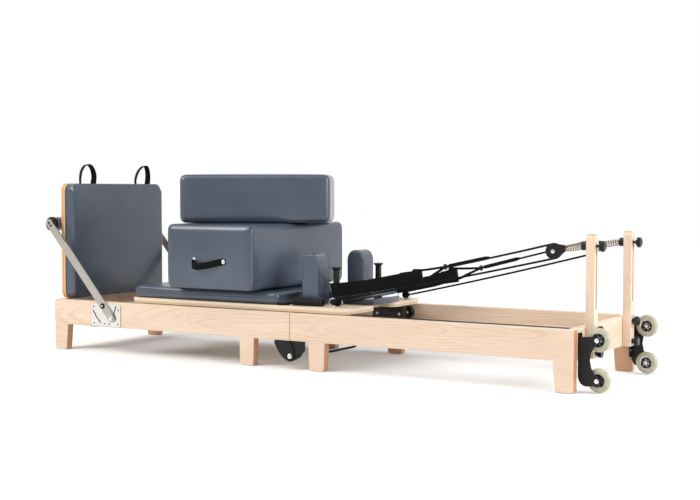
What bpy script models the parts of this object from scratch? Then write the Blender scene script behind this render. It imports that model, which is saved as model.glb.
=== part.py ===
"""Folding maple pilates reformer: frame in two hinged halves, sprung carriage, footbar,
jumpboard, pulley risers with ropes, transport wheels, sitting box and box cushion.

Metres, +Z up, floor at z = 0. X runs along the frame from the foot end (-X) to the head
end (+X); Y runs across it. Every size below is seen from the middle of the wooden frame;
the root empty then shifts the whole object so that its overall length is centred on X = 0.
"""

import math

import bmesh
import bpy
from mathutils import Matrix, Vector

GAP = 0.0003                  # air left between two pieces that touch

# frame
FRAME_HALF = 1.200            # half the length of the wooden frame
RAIL_OUT = 0.325              # outer face of a side rail, across
RAIL_IN = 0.290               # inner face of a side rail, across
RAIL_TOP = 0.218
RAIL_LOW = 0.110              # underside of a rail, and the height of a leg
JOINT_X = 0.040               # where the two halves of the frame meet
LEG_ROUND = 0.008
BOARD = 0.035                 # thickness of an end board
LEDGE_IN = 0.258              # inner edge of the ledge that the carriage wheels run on
LEDGE_TOP = 0.1565
LEDGE_LOW = 0.1450

# fold hinge
PIVOT = (JOINT_X, 0.050)      # x and z of the fold axis
LEAF = 0.004                  # thickness of a leaf
LEAF_EYE = 0.022              # radius of a leaf's round end
LEAF_FOOT_Y, LEAF_HEAD_Y = 0.3205, 0.3160    # inner face of each half's leaves, across

# footbar
ARM_PIVOT = (-0.864, 0.149)   # x and z
BAR_AXIS = (-1.2145, 0.546)
ARM_HALF = 0.017
ARM_PAST = 0.006              # how far an arm's round end stands past the roll's axis
ARM_IN, ARM_OUT = 0.3297, 0.3377
ROLL_R = 0.030
FOOT_PLATE = (-0.981, -0.821, 0.1145, 0.2085)    # x and z edges of a footbar plate
PLATE_SLOTS = (((-0.9732, 0.1814), (-0.9540, 0.1530), (-0.9311, 0.1282)),
               ((-0.8428, 0.2024), (-0.8554, 0.1703), (-0.8473, 0.1456)))

# jumpboard
PANEL_BACK, PANEL_FRONT = -1.184, -1.163
PAD_FRONT = -1.106
JUMP_HALF = 0.297
JUMP_LOW, JUMP_TOP = 0.219, 0.724
PEG_X, PEG_Y, PEG_LOW = -1.1745, 0.180, 0.190
LOOP_Y, LOOP_WIDE, LOOP_HIGH = 0.183, 0.052, 1.64   # height is so many times the radius

# head end
RISER_Y, RISER_HALF = 0.1965, 0.0205
RISER_IN, RISER_OUT = FRAME_HALF + GAP, 1.232
RISER_LOW, RISER_TOP = 0.1105, 0.541
SLOT_LOW, BOLT_Z = 0.2855, 0.500      # lower and upper end of a riser's slot
KNOB_X = 1.2522
PULLEY_X, PULLEY_Z = 1.075, 0.479
ROPE_R = 0.0039
ROPE_TURN = 0.0255            # radius of the rope's middle line round a pulley
PULLEY_SPRING = (0.0465, 1.1825, 0.0130)     # start from the pulley, end x, radius
BRACKET_Y = 0.284             # middle of a bracket plate, across
WHEEL_X, WHEEL_LOW_Z, WHEEL_TOP_Z = 1.2680, 0.0440, 0.1830
WHEEL_R, WHEEL_Y, WHEEL_WIDE = 0.042, 0.262, 0.024

# carriage, at its rest against the foot end stop
PLATE_LOW, PLATE_TOP = 0.2205, 0.2415
PLATE_FOOT, PLATE_HEAD, PLATE_HALF = -0.800, 0.283, 0.295
PAD_LOW, PAD_TOP = PLATE_TOP + GAP, 0.2932
PAD_HALF = 0.286
TONGUE_X, TONGUE_HALF = -0.045, 0.115
TONGUE_END = 0.108
REST_X0, REST_X1 = 0.0245, 0.1015
REST_Y0, REST_Y1, REST_TOP = 0.128, 0.218, 0.445
POST_X, POST_Y, POST_TOP = 0.155, 0.165, 0.392
HEADREST_X, HEADREST_Z, HEADREST_HALF = 0.130, 0.2446, 0.110
HEADREST_TILT = math.radians(11)
TRUCK_R, TRUCK_Z, TRUCK_Y = 0.025, 0.182, 0.275
TRUCK_XS = {"foot": -0.750, "head": 0.237}
RUNNER = (-0.775, 0.2425, 0.215, 0.250, 0.165)      # x, y and lower z edges of a runner
SPRING_BLOCK = (-0.655, -0.620, 0.216, 0.150)       # x edges, half width and lower z edge
SPRING_BEAM = (-1.060, -1.020, 0.098, 0.188)        # x and z edges
SPRING_YS = (-0.150, -0.050, 0.050, 0.150)
SPRING_Z, SPRING_R = 0.170, 0.0105
STRAP_END_X, STRAP_END_Z = 0.608, 0.4065
CLEAT = (0.200, 0.235, 0.262)  # where a rope is clipped to the carriage

# loose pieces
BOX_X0, BOX_X1, BOX_HALF = -0.5545, -0.126, 0.3475
BOX_LOW, BOX_TOP = 0.2935, 0.5572
CUSHION = (0.625, 0.300, 0.2015)
CUSHION_X = -0.334            # the cushion's middle, which stays on the box's middle line
CUSHION_TURN = math.radians(28)

# the overall length runs from the footbar's roll to the transport wheels
LENGTH_MIDDLE = (BAR_AXIS[0] - ROLL_R + WHEEL_X + WHEEL_R) / 2

SIDES = {"near": -1, "far": 1}

PALETTE = {                   # colour, roughness, metallic
    "maple": ((0.86, 0.68, 0.50), 0.45, 0.0),
    "plywood": ((0.80, 0.62, 0.42), 0.5, 0.0),
    "leather": ((0.10, 0.13, 0.17), 0.5, 0.0),
    "steel": ((0.55, 0.52, 0.47), 0.35, 1.0),
    "black_steel": ((0.01, 0.01, 0.012), 0.4, 0.0),
    "brass": ((0.55, 0.45, 0.30), 0.35, 1.0),
    "plastic": ((0.012, 0.012, 0.014), 0.5, 0.0),
    "webbing": ((0.008, 0.008, 0.009), 0.85, 0.0),
    "wheel": ((0.55, 0.54, 0.42), 0.4, 0.0),
}


# ---------------------------------------------------------------- scene and materials

def clear_scene():
    for old in list(bpy.data.objects):
        bpy.data.objects.remove(old, do_unlink=True)


def finish(name, kind):
    colour, roughness, metallic = PALETTE[kind]
    made = bpy.data.materials.new(name + "_" + kind)
    made.use_nodes = True
    shader = made.node_tree.nodes["Principled BSDF"]
    shader.inputs["Base Color"].default_value = (*colour, 1.0)
    shader.inputs["Roughness"].default_value = roughness
    shader.inputs["Metallic"].default_value = metallic
    return made


def hang(obj, body, at=(0, 0, 0)):
    """Puts obj in the scene and hangs it on its body; at is in frame measures."""
    bpy.context.collection.objects.link(obj)
    obj.parent = body
    obj.location = Vector(at)
    above = body
    while above is not None and above.parent is not None:
        obj.location -= above.location
        above = above.parent
    return obj


def axis_empty(name, parent, at):
    """An empty on a joint's axis, which carries the pieces of one moving body."""
    return hang(bpy.data.objects.new(name, None), parent, at)


def mesh_from(name, bm):
    bmesh.ops.recalc_face_normals(bm, faces=bm.faces)
    mesh = bpy.data.meshes.new(name)
    bm.to_mesh(mesh)
    bm.free()
    return mesh


def mesh_object(name, bm, kind, body, at=(0, 0, 0)):
    mesh = mesh_from(name, bm)
    mesh.shade_smooth()
    mesh.set_sharp_from_angle(angle=math.radians(35))
    mesh.materials.append(finish(name, kind))
    return hang(bpy.data.objects.new(name, mesh), body, at)


def boolean(obj, operation, bm):
    """Joins or cuts obj with the bodies in bm, which are in the same frame measures."""
    name = f"{obj.name}_{operation.lower()}"
    other = hang(bpy.data.objects.new(name, mesh_from(name, bm)), obj.parent)
    other.hide_render = True
    other.display_type = "WIRE"
    modifier = obj.modifiers.new(operation.title(), "BOOLEAN")
    modifier.operation = operation
    modifier.solver = "EXACT"
    modifier.object = other


# ---------------------------------------------------------------- outlines and solids

def arc(cx, cy, radius, start, end, steps):
    """Points round a centre, from one angle to another in degrees, both ends included."""
    turns = [math.radians(start + (end - start) * i / steps) for i in range(steps + 1)]
    return [(cx + radius * math.cos(a), cy + radius * math.sin(a)) for a in turns]


def rounded_rectangle(x0, x1, y0, y1, radius, steps=4):
    corners = ((x1 - radius, y0 + radius, -90), (x1 - radius, y1 - radius, 0),
               (x0 + radius, y1 - radius, 90), (x0 + radius, y0 + radius, 180))
    outline = []
    for cx, cy, start in corners:
        outline += arc(cx, cy, radius, start, start + 90, steps)
    return outline


def to_space(plane, u, v, depth):
    return {"XY": (u, v, depth), "XZ": (u, depth, v), "YZ": (depth, u, v)}[plane]


def prism(bm, plane, outline, low, high):
    """Adds to bm an outline drawn in a plane and extruded between two depths."""
    ends = []
    for depth in (low, high):
        ends.append([bm.verts.new(to_space(plane, u, v, depth)) for u, v in outline])
    bm.faces.new(ends[0])
    bm.faces.new(ends[1])
    count = len(outline)
    for i in range(count):
        j = (i + 1) % count
        bm.faces.new((ends[0][i], ends[0][j], ends[1][j], ends[1][i]))
    return bm


def box(bm, low, high):
    outline = [(low[0], low[1]), (high[0], low[1]), (high[0], high[1]), (low[0], high[1])]
    return prism(bm, "XY", outline, low[2], high[2])


def cylinder(bm, axis, centre, radius, low, high, steps=16):
    """A round bar along X, Y or Z; centre is its place in the plane across that axis."""
    plane = {"X": "YZ", "Y": "XZ", "Z": "XY"}[axis]
    return prism(bm, plane, arc(*centre, radius, 0, 360 - 360 / steps, steps - 1), low, high)


def turned(bm, profile, steps, axis="Y"):
    """Turns a profile of (radius, height) round an axis through the origin. A profile that
    starts and ends on the axis is solid; any other closes on itself as a ring."""
    solid = profile[0][0] == 0
    rings = []
    for radius, height in profile:
        if radius == 0:
            rings.append([bm.verts.new((0, 0, height))])
            continue
        turn = [2 * math.pi * i / steps for i in range(steps)]
        rings.append([bm.verts.new((radius * math.cos(a), radius * math.sin(a), height))
                      for a in turn])
    pairs = list(zip(rings, rings[1:]))
    if not solid:
        pairs.append((rings[-1], rings[0]))
    for first, second in pairs:
        for i in range(steps):
            j = (i + 1) % steps
            quad = [first[i % len(first)], first[j % len(first)],
                    second[j % len(second)], second[i % len(second)]]
            bm.faces.new(list(dict.fromkeys(quad)))
    if axis == "Y":
        bmesh.ops.rotate(bm, verts=bm.verts, matrix=Matrix.Rotation(-math.pi / 2, 3, "X"))
    elif axis == "X":
        bmesh.ops.rotate(bm, verts=bm.verts, matrix=Matrix.Rotation(math.pi / 2, 3, "Y"))
    return bm


def bevel_edges(bm, picked, width, segments):
    """Rounds every edge that passes the test."""
    edges = [e for e in bm.edges if picked(e)]
    bmesh.ops.bevel(bm, geom=edges, offset=width, segments=segments, profile=0.5,
                    affect="EDGES", clamp_overlap=True)
    return bm


def tube(name, points, radius, kind, body):
    """A round cord or bar along a list of points, with closed ends."""
    curve = bpy.data.curves.new(name, "CURVE")
    curve.dimensions = "3D"
    curve.bevel_depth = radius
    curve.bevel_resolution = 2
    curve.render_resolution_u = 0
    curve.use_fill_caps = True
    spline = curve.splines.new("POLY")
    spline.points.add(len(points) - 1)
    for point, co in zip(spline.points, points):
        point.co = (*co, 1.0)
    curve.materials.append(finish(name, kind))
    return hang(bpy.data.objects.new(name, curve), body)


def between(sign, near_edge, far_edge):
    """Two depths across the frame, in rising order, on the side that sign names."""
    return sorted((sign * near_edge, sign * far_edge))


# ---------------------------------------------------------------- wooden frame

def leg(x_left, x_right, taper_left, taper_right):
    """Outline of a leg under a rail, drawn from its left top down and round to its right."""
    left = x_left + taper_left
    right = x_right - taper_right
    outline = [(x_left, RAIL_LOW)] if taper_left else []
    outline += arc(left + LEG_ROUND, LEG_ROUND, LEG_ROUND, 180, 270, 3)
    outline += arc(right - LEG_ROUND, LEG_ROUND, LEG_ROUND, 270, 360, 3)
    outline += [(x_right, RAIL_LOW)] if taper_right else []
    return outline


def side_frames(foot, head):
    """Each side of each half: a rail with its two legs glued under it and, inside, the ledge
    that the carriage runs on."""
    end = FRAME_HALF
    halves = {
        "foot": (foot, [(-end, RAIL_TOP)] + leg(-end, -end + 0.077, 0, 0.010)
                 + leg(-0.202, -0.130, 0.004, 0.004)
                 + [(JOINT_X - GAP, RAIL_LOW), (JOINT_X - GAP, RAIL_TOP)],
                 -end + BOARD + GAP, JOINT_X - GAP),
        "head": (head, [(JOINT_X + GAP, RAIL_TOP), (JOINT_X + GAP, RAIL_LOW)]
                 + leg(0.125, 0.200, 0.004, 0.004) + leg(end - 0.077, end, 0.010, 0)
                 + [(end, RAIL_TOP)],
                 JOINT_X + GAP, end - BOARD - GAP),
    }
    for half, (body, outline, ledge_from, ledge_to) in halves.items():
        for side, sign in SIDES.items():
            low, high = between(sign, RAIL_IN, RAIL_OUT)
            rail = mesh_object(f"{half}_side_{side}",
                               prism(bmesh.new(), "XZ", outline, low, high), "maple", body)
            low, high = between(sign, LEDGE_IN, RAIL_IN + 0.002)
            ledge = box(bmesh.new(), (ledge_from, low, LEDGE_LOW), (ledge_to, high, LEDGE_TOP))
            boolean(rail, "UNION", ledge)


def cross_pieces(foot, head):
    inside = RAIL_IN - GAP
    inner = FRAME_HALF - BOARD
    board = box(bmesh.new(), (-FRAME_HALF, -inside, RAIL_LOW), (-inner, inside, RAIL_TOP))
    board = mesh_object("foot_end_board", board, "maple", foot)
    sockets = bmesh.new()
    for y in (-PEG_Y, PEG_Y):
        cylinder(sockets, "Z", (PEG_X, y), 0.0066, PEG_LOW - 0.007, RAIL_TOP + 0.01, 12)
    boolean(board, "DIFFERENCE", sockets)
    board = box(bmesh.new(), (inner, -inside, RAIL_LOW), (FRAME_HALF, inside, RAIL_TOP))
    mesh_object("head_end_board", board, "maple", head)
    x0, x1, low, high = SPRING_BEAM
    beam = box(bmesh.new(), (x0, -LEDGE_IN + GAP, low), (x1, LEDGE_IN - GAP, high))
    mesh_object("spring_beam", beam, "maple", foot)


def fold_hinges(foot, head):
    """A black leaf under each rail end; the foot leaf's stud turns in the head leaf's hole."""
    px, pz = PIVOT
    top = RAIL_LOW - GAP
    foot_leaf = ([(px - 0.0005, top), (px - 0.072, top), (px - 0.072, 0.096),
                  (px - 0.053, 0.0636), (px - 0.030, 0.0405)]
                 + arc(px, pz, LEAF_EYE, 235, 360, 6) + [(px + 0.012, 0.085)])
    head_leaf = ([(px + 0.067, top), (px + 0.0005, top), (px - 0.012, 0.085)]
                 + arc(px, pz, LEAF_EYE, 180, 300, 6)
                 + [(px + 0.045, 0.0475), (px + 0.054, 0.0608), (px + 0.067, 0.0760)])
    for side, sign in SIDES.items():
        low, high = between(sign, LEAF_FOOT_Y, LEAF_FOOT_Y + LEAF)
        leaf = mesh_object(f"hinge_leaf_foot_{side}",
                           prism(bmesh.new(), "XZ", foot_leaf, low, high), "black_steel", foot)
        joined = bmesh.new()
        low, high = between(sign, LEAF_HEAD_Y - 0.003, LEAF_FOOT_Y + 0.0015)
        cylinder(joined, "Y", PIVOT, 0.006, low, high, 12)
        boolean(leaf, "UNION", joined)
        low, high = between(sign, LEAF_HEAD_Y, LEAF_HEAD_Y + LEAF)
        leaf = mesh_object(f"hinge_leaf_head_{side}",
                           prism(bmesh.new(), "XZ", head_leaf, low, high), "black_steel", head)
        low, high = between(sign, LEAF_HEAD_Y - 0.006, LEAF_FOOT_Y + 0.0045)
        boolean(leaf, "DIFFERENCE", cylinder(bmesh.new(), "Y", PIVOT, 0.0064, low, high, 12))


# ---------------------------------------------------------------- foot end

def bent_slot(points, width):
    """Outline of a slot of even width along a bent line, with square ends."""
    points = [Vector(p) for p in points]
    left, right = [], []
    for i, here in enumerate(points):
        along = (points[min(i + 1, len(points) - 1)] - points[max(i - 1, 0)]).normalized()
        aside = Vector((-along.y, along.x)) * width / 2
        left.append(tuple(here + aside))
        right.append(tuple(here - aside))
    return left + right[::-1]


def footbar(foot, bar):
    px, pz = ARM_PIVOT
    along = (Vector(BAR_AXIS) - Vector(ARM_PIVOT)).normalized()
    lean = math.degrees(math.atan2(along.y, along.x))
    tip = Vector(BAR_AXIS) + along * ARM_PAST
    for side, sign in SIDES.items():
        low, high = between(sign, RAIL_OUT + GAP, RAIL_OUT + GAP + 0.004)
        outline = rounded_rectangle(*FOOT_PLATE, 0.006, 2)
        plate = mesh_object(f"footbar_plate_{side}",
                            prism(bmesh.new(), "XZ", outline, low, high), "steel", foot)
        stud = bmesh.new()
        low, high = between(sign, RAIL_OUT + 0.002, ARM_OUT + 0.001)
        cylinder(stud, "Y", ARM_PIVOT, 0.005, low, high, 12)
        boolean(plate, "UNION", stud)
        head = bmesh.new()
        low, high = between(sign, ARM_OUT + GAP, ARM_OUT + 0.0035)
        cylinder(head, "Y", ARM_PIVOT, 0.009, low, high, 12)
        boolean(plate, "UNION", head)
        slots = bmesh.new()
        low, high = between(sign, RAIL_OUT - 0.01, RAIL_OUT + 0.01)
        for points in PLATE_SLOTS:
            prism(slots, "XZ", bent_slot(points, 0.0055), low, high)
        boolean(plate, "DIFFERENCE", slots)

        low, high = between(sign, ARM_IN, ARM_OUT)
        outline = arc(px, pz, ARM_HALF, lean + 90, lean + 270, 6)
        outline += arc(*tip, ARM_HALF, lean - 90, lean + 90, 6)
        arm = mesh_object(f"footbar_arm_{side}",
                          prism(bmesh.new(), "XZ", outline, low, high), "steel", bar)
        low, high = between(sign, 0.32, 0.345)
        boolean(arm, "DIFFERENCE", cylinder(bmesh.new(), "Y", ARM_PIVOT, 0.0056, low, high, 12))

    half = ARM_IN - GAP
    end_r = ROLL_R - 0.005
    profile = [(0, -half), (end_r, -half), (ROLL_R, -half + 0.008), (ROLL_R, half - 0.008),
               (end_r, half), (0, half)]
    mesh_object("footbar_roll", turned(bmesh.new(), profile, 20), "leather", bar,
                (BAR_AXIS[0], 0, BAR_AXIS[1]))


def jumpboard(body):
    outline = rounded_rectangle(-JUMP_HALF, JUMP_HALF, JUMP_LOW, JUMP_TOP, 0.030, 3)
    panel = prism(bmesh.new(), "YZ", outline, PANEL_BACK, PANEL_FRONT)
    panel = mesh_object("jumpboard_panel", panel, "plywood", body)
    pegs = bmesh.new()
    for y in (-PEG_Y, PEG_Y):
        cylinder(pegs, "Z", (PEG_X, y), 0.006, PEG_LOW, JUMP_LOW + 0.02, 12)
    boolean(panel, "UNION", pegs)

    outline = rounded_rectangle(-JUMP_HALF + 0.0005, JUMP_HALF - 0.0005,
                                JUMP_LOW + 0.001, JUMP_TOP - 0.0005, 0.030, 3)
    pad = prism(bmesh.new(), "YZ", outline, PANEL_FRONT + GAP, PAD_FRONT)
    bevel_edges(pad, lambda e: all(v.co.x > PAD_FRONT - 1e-4 for v in e.verts), 0.012, 2)
    mesh_object("jumpboard_pad", pad, "leather", body)

    for side, sign in SIDES.items():
        y = sign * LOOP_Y
        foot_z = JUMP_TOP + GAP
        outer = [(y + u, foot_z + (v - foot_z) * LOOP_HIGH)
                 for u, v in arc(0, foot_z, LOOP_WIDE, 0, 180, 10)]
        inner = [(y + u, foot_z + (v - foot_z) * (LOOP_HIGH - 0.02))
                 for u, v in arc(0, foot_z, LOOP_WIDE - 0.004, 180, 0, 10)]
        loop = prism(bmesh.new(), "YZ", outer + inner, -1.150, -1.122)
        mesh_object(f"jumpboard_loop_{side}", loop, "webbing", body)


# ---------------------------------------------------------------- head end

def risers(head):
    for side, sign in SIDES.items():
        y = sign * RISER_Y
        corner = 0.017
        outline = [(y - RISER_HALF, RISER_LOW), (y + RISER_HALF, RISER_LOW)]
        outline += arc(y + RISER_HALF - corner, RISER_TOP - corner, corner, 0, 90, 4)
        outline += arc(y - RISER_HALF + corner, RISER_TOP - corner, corner, 90, 180, 4)
        riser = mesh_object(f"riser_{side}",
                            prism(bmesh.new(), "YZ", outline, RISER_IN, RISER_OUT), "maple", head)
        slot = arc(y, BOLT_Z, 0.0055, 0, 180, 4) + arc(y, SLOT_LOW, 0.0055, 180, 360, 4)
        boolean(riser, "DIFFERENCE", prism(bmesh.new(), "YZ", slot, 1.19, 1.24))

        collar = cylinder(bmesh.new(), "X", (y, BOLT_Z), 0.016, 1.186, FRAME_HALF - GAP, 16)
        anchor = mesh_object(f"pulley_anchor_{side}", collar, "plastic", head)
        shaft = cylinder(bmesh.new(), "X", (y, BOLT_Z), 0.0048, 1.192, 1.2420, 12)
        boolean(anchor, "UNION", shaft)

        knob = bmesh.new()
        count = 18
        lobes = []
        for i in range(count):
            turn = 2 * math.pi * i / count
            reach = 0.0165 + 0.0035 * math.cos(3 * turn)
            lobes.append((reach * math.cos(turn), reach * math.sin(turn)))
        prism(knob, "YZ", lobes, -0.0098, 0.0098)
        mesh_object(f"pulley_knob_{side}", knob, "plastic", head, (KNOB_X, y, BOLT_Z))


def pulleys(head):
    cheek_in, cheek_out = 0.0068, 0.0095
    for side, sign in SIDES.items():
        y = sign * RISER_Y
        outline = arc(PULLEY_X, PULLEY_Z, 0.0285, 60, 290, 12)
        outline += [(PULLEY_X + 0.036, PULLEY_Z - 0.004), (PULLEY_X + 0.043, PULLEY_Z + 0.001),
                    (PULLEY_X + 0.043, PULLEY_Z + 0.020), (PULLEY_X + 0.036, PULLEY_Z + 0.022)]
        cheek = prism(bmesh.new(), "XZ", outline, y - cheek_out, y - cheek_in)
        block = mesh_object(f"pulley_block_{side}", cheek, "plastic", head)
        others = prism(bmesh.new(), "XZ", outline, y + cheek_in, y + cheek_out)
        boolean(block, "UNION", others)
        tail = box(bmesh.new(), (PULLEY_X + 0.0315, y - 0.0090, PULLEY_Z + 0.0030),
                   (PULLEY_X + 0.0425, y + 0.0090, PULLEY_Z + 0.0180))
        boolean(block, "UNION", tail)
        pin = cylinder(bmesh.new(), "Y", (PULLEY_X, PULLEY_Z), 0.004, y - 0.0085, y + 0.0085, 12)
        boolean(block, "UNION", pin)

        profile = [(0.0043, -0.0060), (0.0255, -0.0060), (0.0255, -0.0045), (0.0212, -0.0030),
                   (0.0212, 0.0030), (0.0255, 0.0045), (0.0255, 0.0060), (0.0043, 0.0060)]
        mesh_object(f"pulley_sheave_{side}", turned(bmesh.new(), profile, 16), "plastic",
                    head, (PULLEY_X, y, PULLEY_Z))

        gap, end_x, radius = PULLEY_SPRING
        start = Vector((PULLEY_X + gap, y, PULLEY_Z + 0.0105))
        end = Vector((end_x, y, BOLT_Z))
        tube(f"pulley_spring_{side}", [start, start.lerp(end, 0.5), end], radius, "brass", head)


def wheel_brackets(head):
    """Black plates that stand out from the end board and carry two wheels each."""
    top_z, low_z = WHEEL_TOP_Z, WHEEL_LOW_Z
    outline = [(RISER_IN, 0.206), (RISER_IN, 0.056)]
    outline += arc(1.2340, 0.0560, 0.0330, 190, 262, 4)
    outline += arc(WHEEL_X, low_z, 0.0150, -80, 40, 5)
    outline += [(1.2580, 0.0680), (1.2480, 0.0880), (1.2430, 0.1130), (1.2470, 0.1400),
                (1.2580, 0.1600)]
    outline += arc(WHEEL_X, top_z, 0.0135, -45, 90, 5)
    outline += [(1.2158, 0.1930), (1.2158, 0.206)]
    for side, sign in SIDES.items():
        low, high = between(sign, BRACKET_Y - 0.0020, BRACKET_Y + 0.0020)
        bracket = prism(bmesh.new(), "XZ", outline, low, high)
        bracket = mesh_object(f"wheel_bracket_{side}", bracket, "black_steel", head)
        low, high = between(sign, BRACKET_Y - 0.0020, BRACKET_Y - 0.0300)
        flange = box(bmesh.new(), (RISER_IN, low, 0.060), (RISER_IN + 0.0030, high, 0.205))
        boolean(bracket, "UNION", flange)
        axles = bmesh.new()
        for z in (low_z, top_z):
            low, high = between(sign, BRACKET_Y, WHEEL_Y - WHEEL_WIDE / 2 - 0.001)
            cylinder(axles, "Y", (WHEEL_X, z), 0.004, low, high, 12)
        boolean(bracket, "UNION", axles)


def transport_wheels(head):
    w = WHEEL_WIDE / 2
    profile = [(0.0043, -w + 0.001), (0.026, -w + 0.001), (0.033, -w), (0.039, -w + 0.004),
               (WHEEL_R, -0.003), (WHEEL_R, 0.003), (0.039, w - 0.004), (0.033, w),
               (0.026, w - 0.001), (0.0043, w - 0.001)]
    for side, sign in SIDES.items():
        for place, z in (("low", WHEEL_LOW_Z), ("top", WHEEL_TOP_Z)):
            mesh_object(f"wheel_{place}_{side}", turned(bmesh.new(), profile, 24), "wheel", head,
                        (WHEEL_X, sign * WHEEL_Y, z))


def rope_path(sign):
    """From the hand strap up to the pulley, round it and down to the cleat on the carriage."""
    y = sign * RISER_Y
    start = Vector((STRAP_END_X + 0.004, sign * POST_Y, STRAP_END_Z))
    finish_at = Vector((CLEAT[0], sign * CLEAT[1], CLEAT[2]))
    wrap = arc(PULLEY_X, PULLEY_Z, ROPE_TURN, 101.9, -77.6, 10)
    wrap = [Vector((u, y, v)) for u, v in wrap]
    first = [start.lerp(wrap[0], i / 6) for i in range(6)]
    last = [wrap[-1].lerp(finish_at, i / 10) for i in range(1, 11)]
    return first + wrap + last


# ---------------------------------------------------------------- carriage

def carriage_plate(body):
    """Plywood plate, notched at its head end, with the runners, spring block and axles."""
    half = PLATE_HALF
    side = arc(PLATE_FOOT + 0.050, -half + 0.050, 0.050, 180, 270, 4)
    side += arc(PLATE_HEAD - 0.028, -half + 0.028, 0.028, 270, 360, 3)
    side += arc(PLATE_HEAD - 0.035, -0.070 - 0.035, 0.035, 0, 90, 3)
    side += [(0.215, -0.070)]
    outline = side + [(u, -v) for u, v in reversed(side)]
    plate = prism(bmesh.new(), "XY", outline, PLATE_LOW, PLATE_TOP)
    plate = mesh_object("carriage_plate", plate, "plywood", body)
    under = bmesh.new()
    foot_x, head_x, near_edge, far_edge, low_z = RUNNER
    for sign in SIDES.values():
        low, high = between(sign, near_edge, far_edge)
        box(under, (foot_x, low, low_z), (head_x, high, PLATE_LOW + 0.001))
    boolean(plate, "UNION", under)
    foot_x, head_x, half_wide, low_z = SPRING_BLOCK
    block = box(bmesh.new(), (foot_x, -half_wide, low_z), (head_x, half_wide, PLATE_LOW + 0.001))
    boolean(plate, "UNION", block)
    axles = bmesh.new()
    for sign in SIDES.values():
        for x in TRUCK_XS.values():
            low, high = between(sign, 0.248, 0.2868)
            cylinder(axles, "Y", (x, TRUCK_Z), 0.004, low, high, 12)
    boolean(plate, "UNION", axles)
    holes = bmesh.new()
    for x, y in rest_pegs():
        cylinder(holes, "Z", (x, y), 0.0056, 0.2, 0.26, 12)
    boolean(plate, "DIFFERENCE", holes)


def rest_pegs():
    """Places of the two pegs under each shoulder rest."""
    middle = (REST_X0 + REST_X1) / 2
    return [(middle, sign * y) for sign in SIDES.values() for y in (0.150, 0.196)]


def carriage_pad(body):
    outline = arc(PLATE_FOOT + 0.040, -PAD_HALF + 0.040, 0.040, 180, 270, 4)
    outline += arc(TONGUE_X - 0.020, -PAD_HALF + 0.020, 0.020, 270, 360, 3)
    outline += [(TONGUE_X, -TONGUE_HALF), (TONGUE_END, -TONGUE_HALF)]
    outline += [(u, -v) for u, v in reversed(outline)]
    pad = prism(bmesh.new(), "XY", outline, PAD_LOW, PAD_TOP)
    bevel_edges(pad, lambda e: all(v.co.z > PAD_TOP - 1e-4 for v in e.verts), 0.012, 2)
    pad = mesh_object("carriage_pad", pad, "leather", body)
    slope = [(0.100, PAD_LOW), (0.288, PAD_LOW), (0.288, 0.2672), (0.155, 0.2440),
             (0.100, 0.2440)]
    wedge = prism(bmesh.new(), "XZ", slope, -0.108, 0.108)
    boolean(pad, "UNION", wedge)


def headrest(body):
    """A padded board hinged along its foot edge, lying on the wedge at a slight tilt."""
    length, thick = 0.158, 0.030
    pad = rounded_rectangle(0, length, -HEADREST_HALF, HEADREST_HALF, 0.020, 3)
    pad = prism(bmesh.new(), "XY", pad, 0, thick)
    bevel_edges(pad, lambda e: all(v.co.z > thick - 1e-4 for v in e.verts), 0.009, 2)
    bmesh.ops.rotate(pad, verts=pad.verts, matrix=Matrix.Rotation(-HEADREST_TILT, 3, "Y"))
    mesh_object("headrest", pad, "leather", body, (HEADREST_X, 0, HEADREST_Z))


def shoulder_rests(body):
    radius = (REST_X1 - REST_X0) / 2
    middle = (REST_X0 + REST_X1) / 2
    for side, sign in SIDES.items():
        outline = [(REST_X0, PLATE_TOP + GAP), (REST_X1, PLATE_TOP + GAP)]
        outline += arc(middle, REST_TOP - radius, radius, 0, 180, 8)
        low, high = between(sign, REST_Y0, REST_Y1)
        rest = prism(bmesh.new(), "XZ", outline, low, high)
        floor_z = PLATE_TOP + GAP + 1e-4
        bevel_edges(rest, lambda e: (e.verts[0].co.y == e.verts[1].co.y
                                     and max(v.co.z for v in e.verts) > floor_z), 0.006, 1)
        rest = mesh_object(f"shoulder_rest_{side}", rest, "leather", body)
        pegs = bmesh.new()
        for x, y in rest_pegs():
            if y * sign > 0:
                cylinder(pegs, "Z", (x, y), 0.005, 0.2230, PLATE_TOP + 0.02, 12)
        boolean(rest, "UNION", pegs)


def strap_posts(body):
    foot_z = PLATE_TOP + GAP
    profile = [(0, foot_z), (0.019, foot_z), (0.019, foot_z + 0.006), (0.014, foot_z + 0.012),
               (0.0125, POST_TOP - 0.012), (0.019, POST_TOP - 0.005), (0.019, POST_TOP),
               (0, POST_TOP)]
    for side, sign in SIDES.items():
        mesh_object(f"strap_post_{side}", turned(bmesh.new(), profile, 16, "Z"), "plastic", body,
                    (POST_X, sign * POST_Y, 0))


def strap_height(x, sign):
    """Middle and half the width of a hand strap's webbing at x, seen from the side."""
    start_x = POST_X - 0.0195
    along = (x - start_x) / (STRAP_END_X - start_x)
    start_z, sag = (0.300, 0.0) if sign < 0 else (0.287, 0.030)
    middle = start_z + (STRAP_END_Z - start_z) * along - 4 * sag * along * (1 - along)
    narrowing = max(0.0, (x - 0.480) / (STRAP_END_X - 0.480))
    return middle, 0.026 - 0.017 * narrowing


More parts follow.
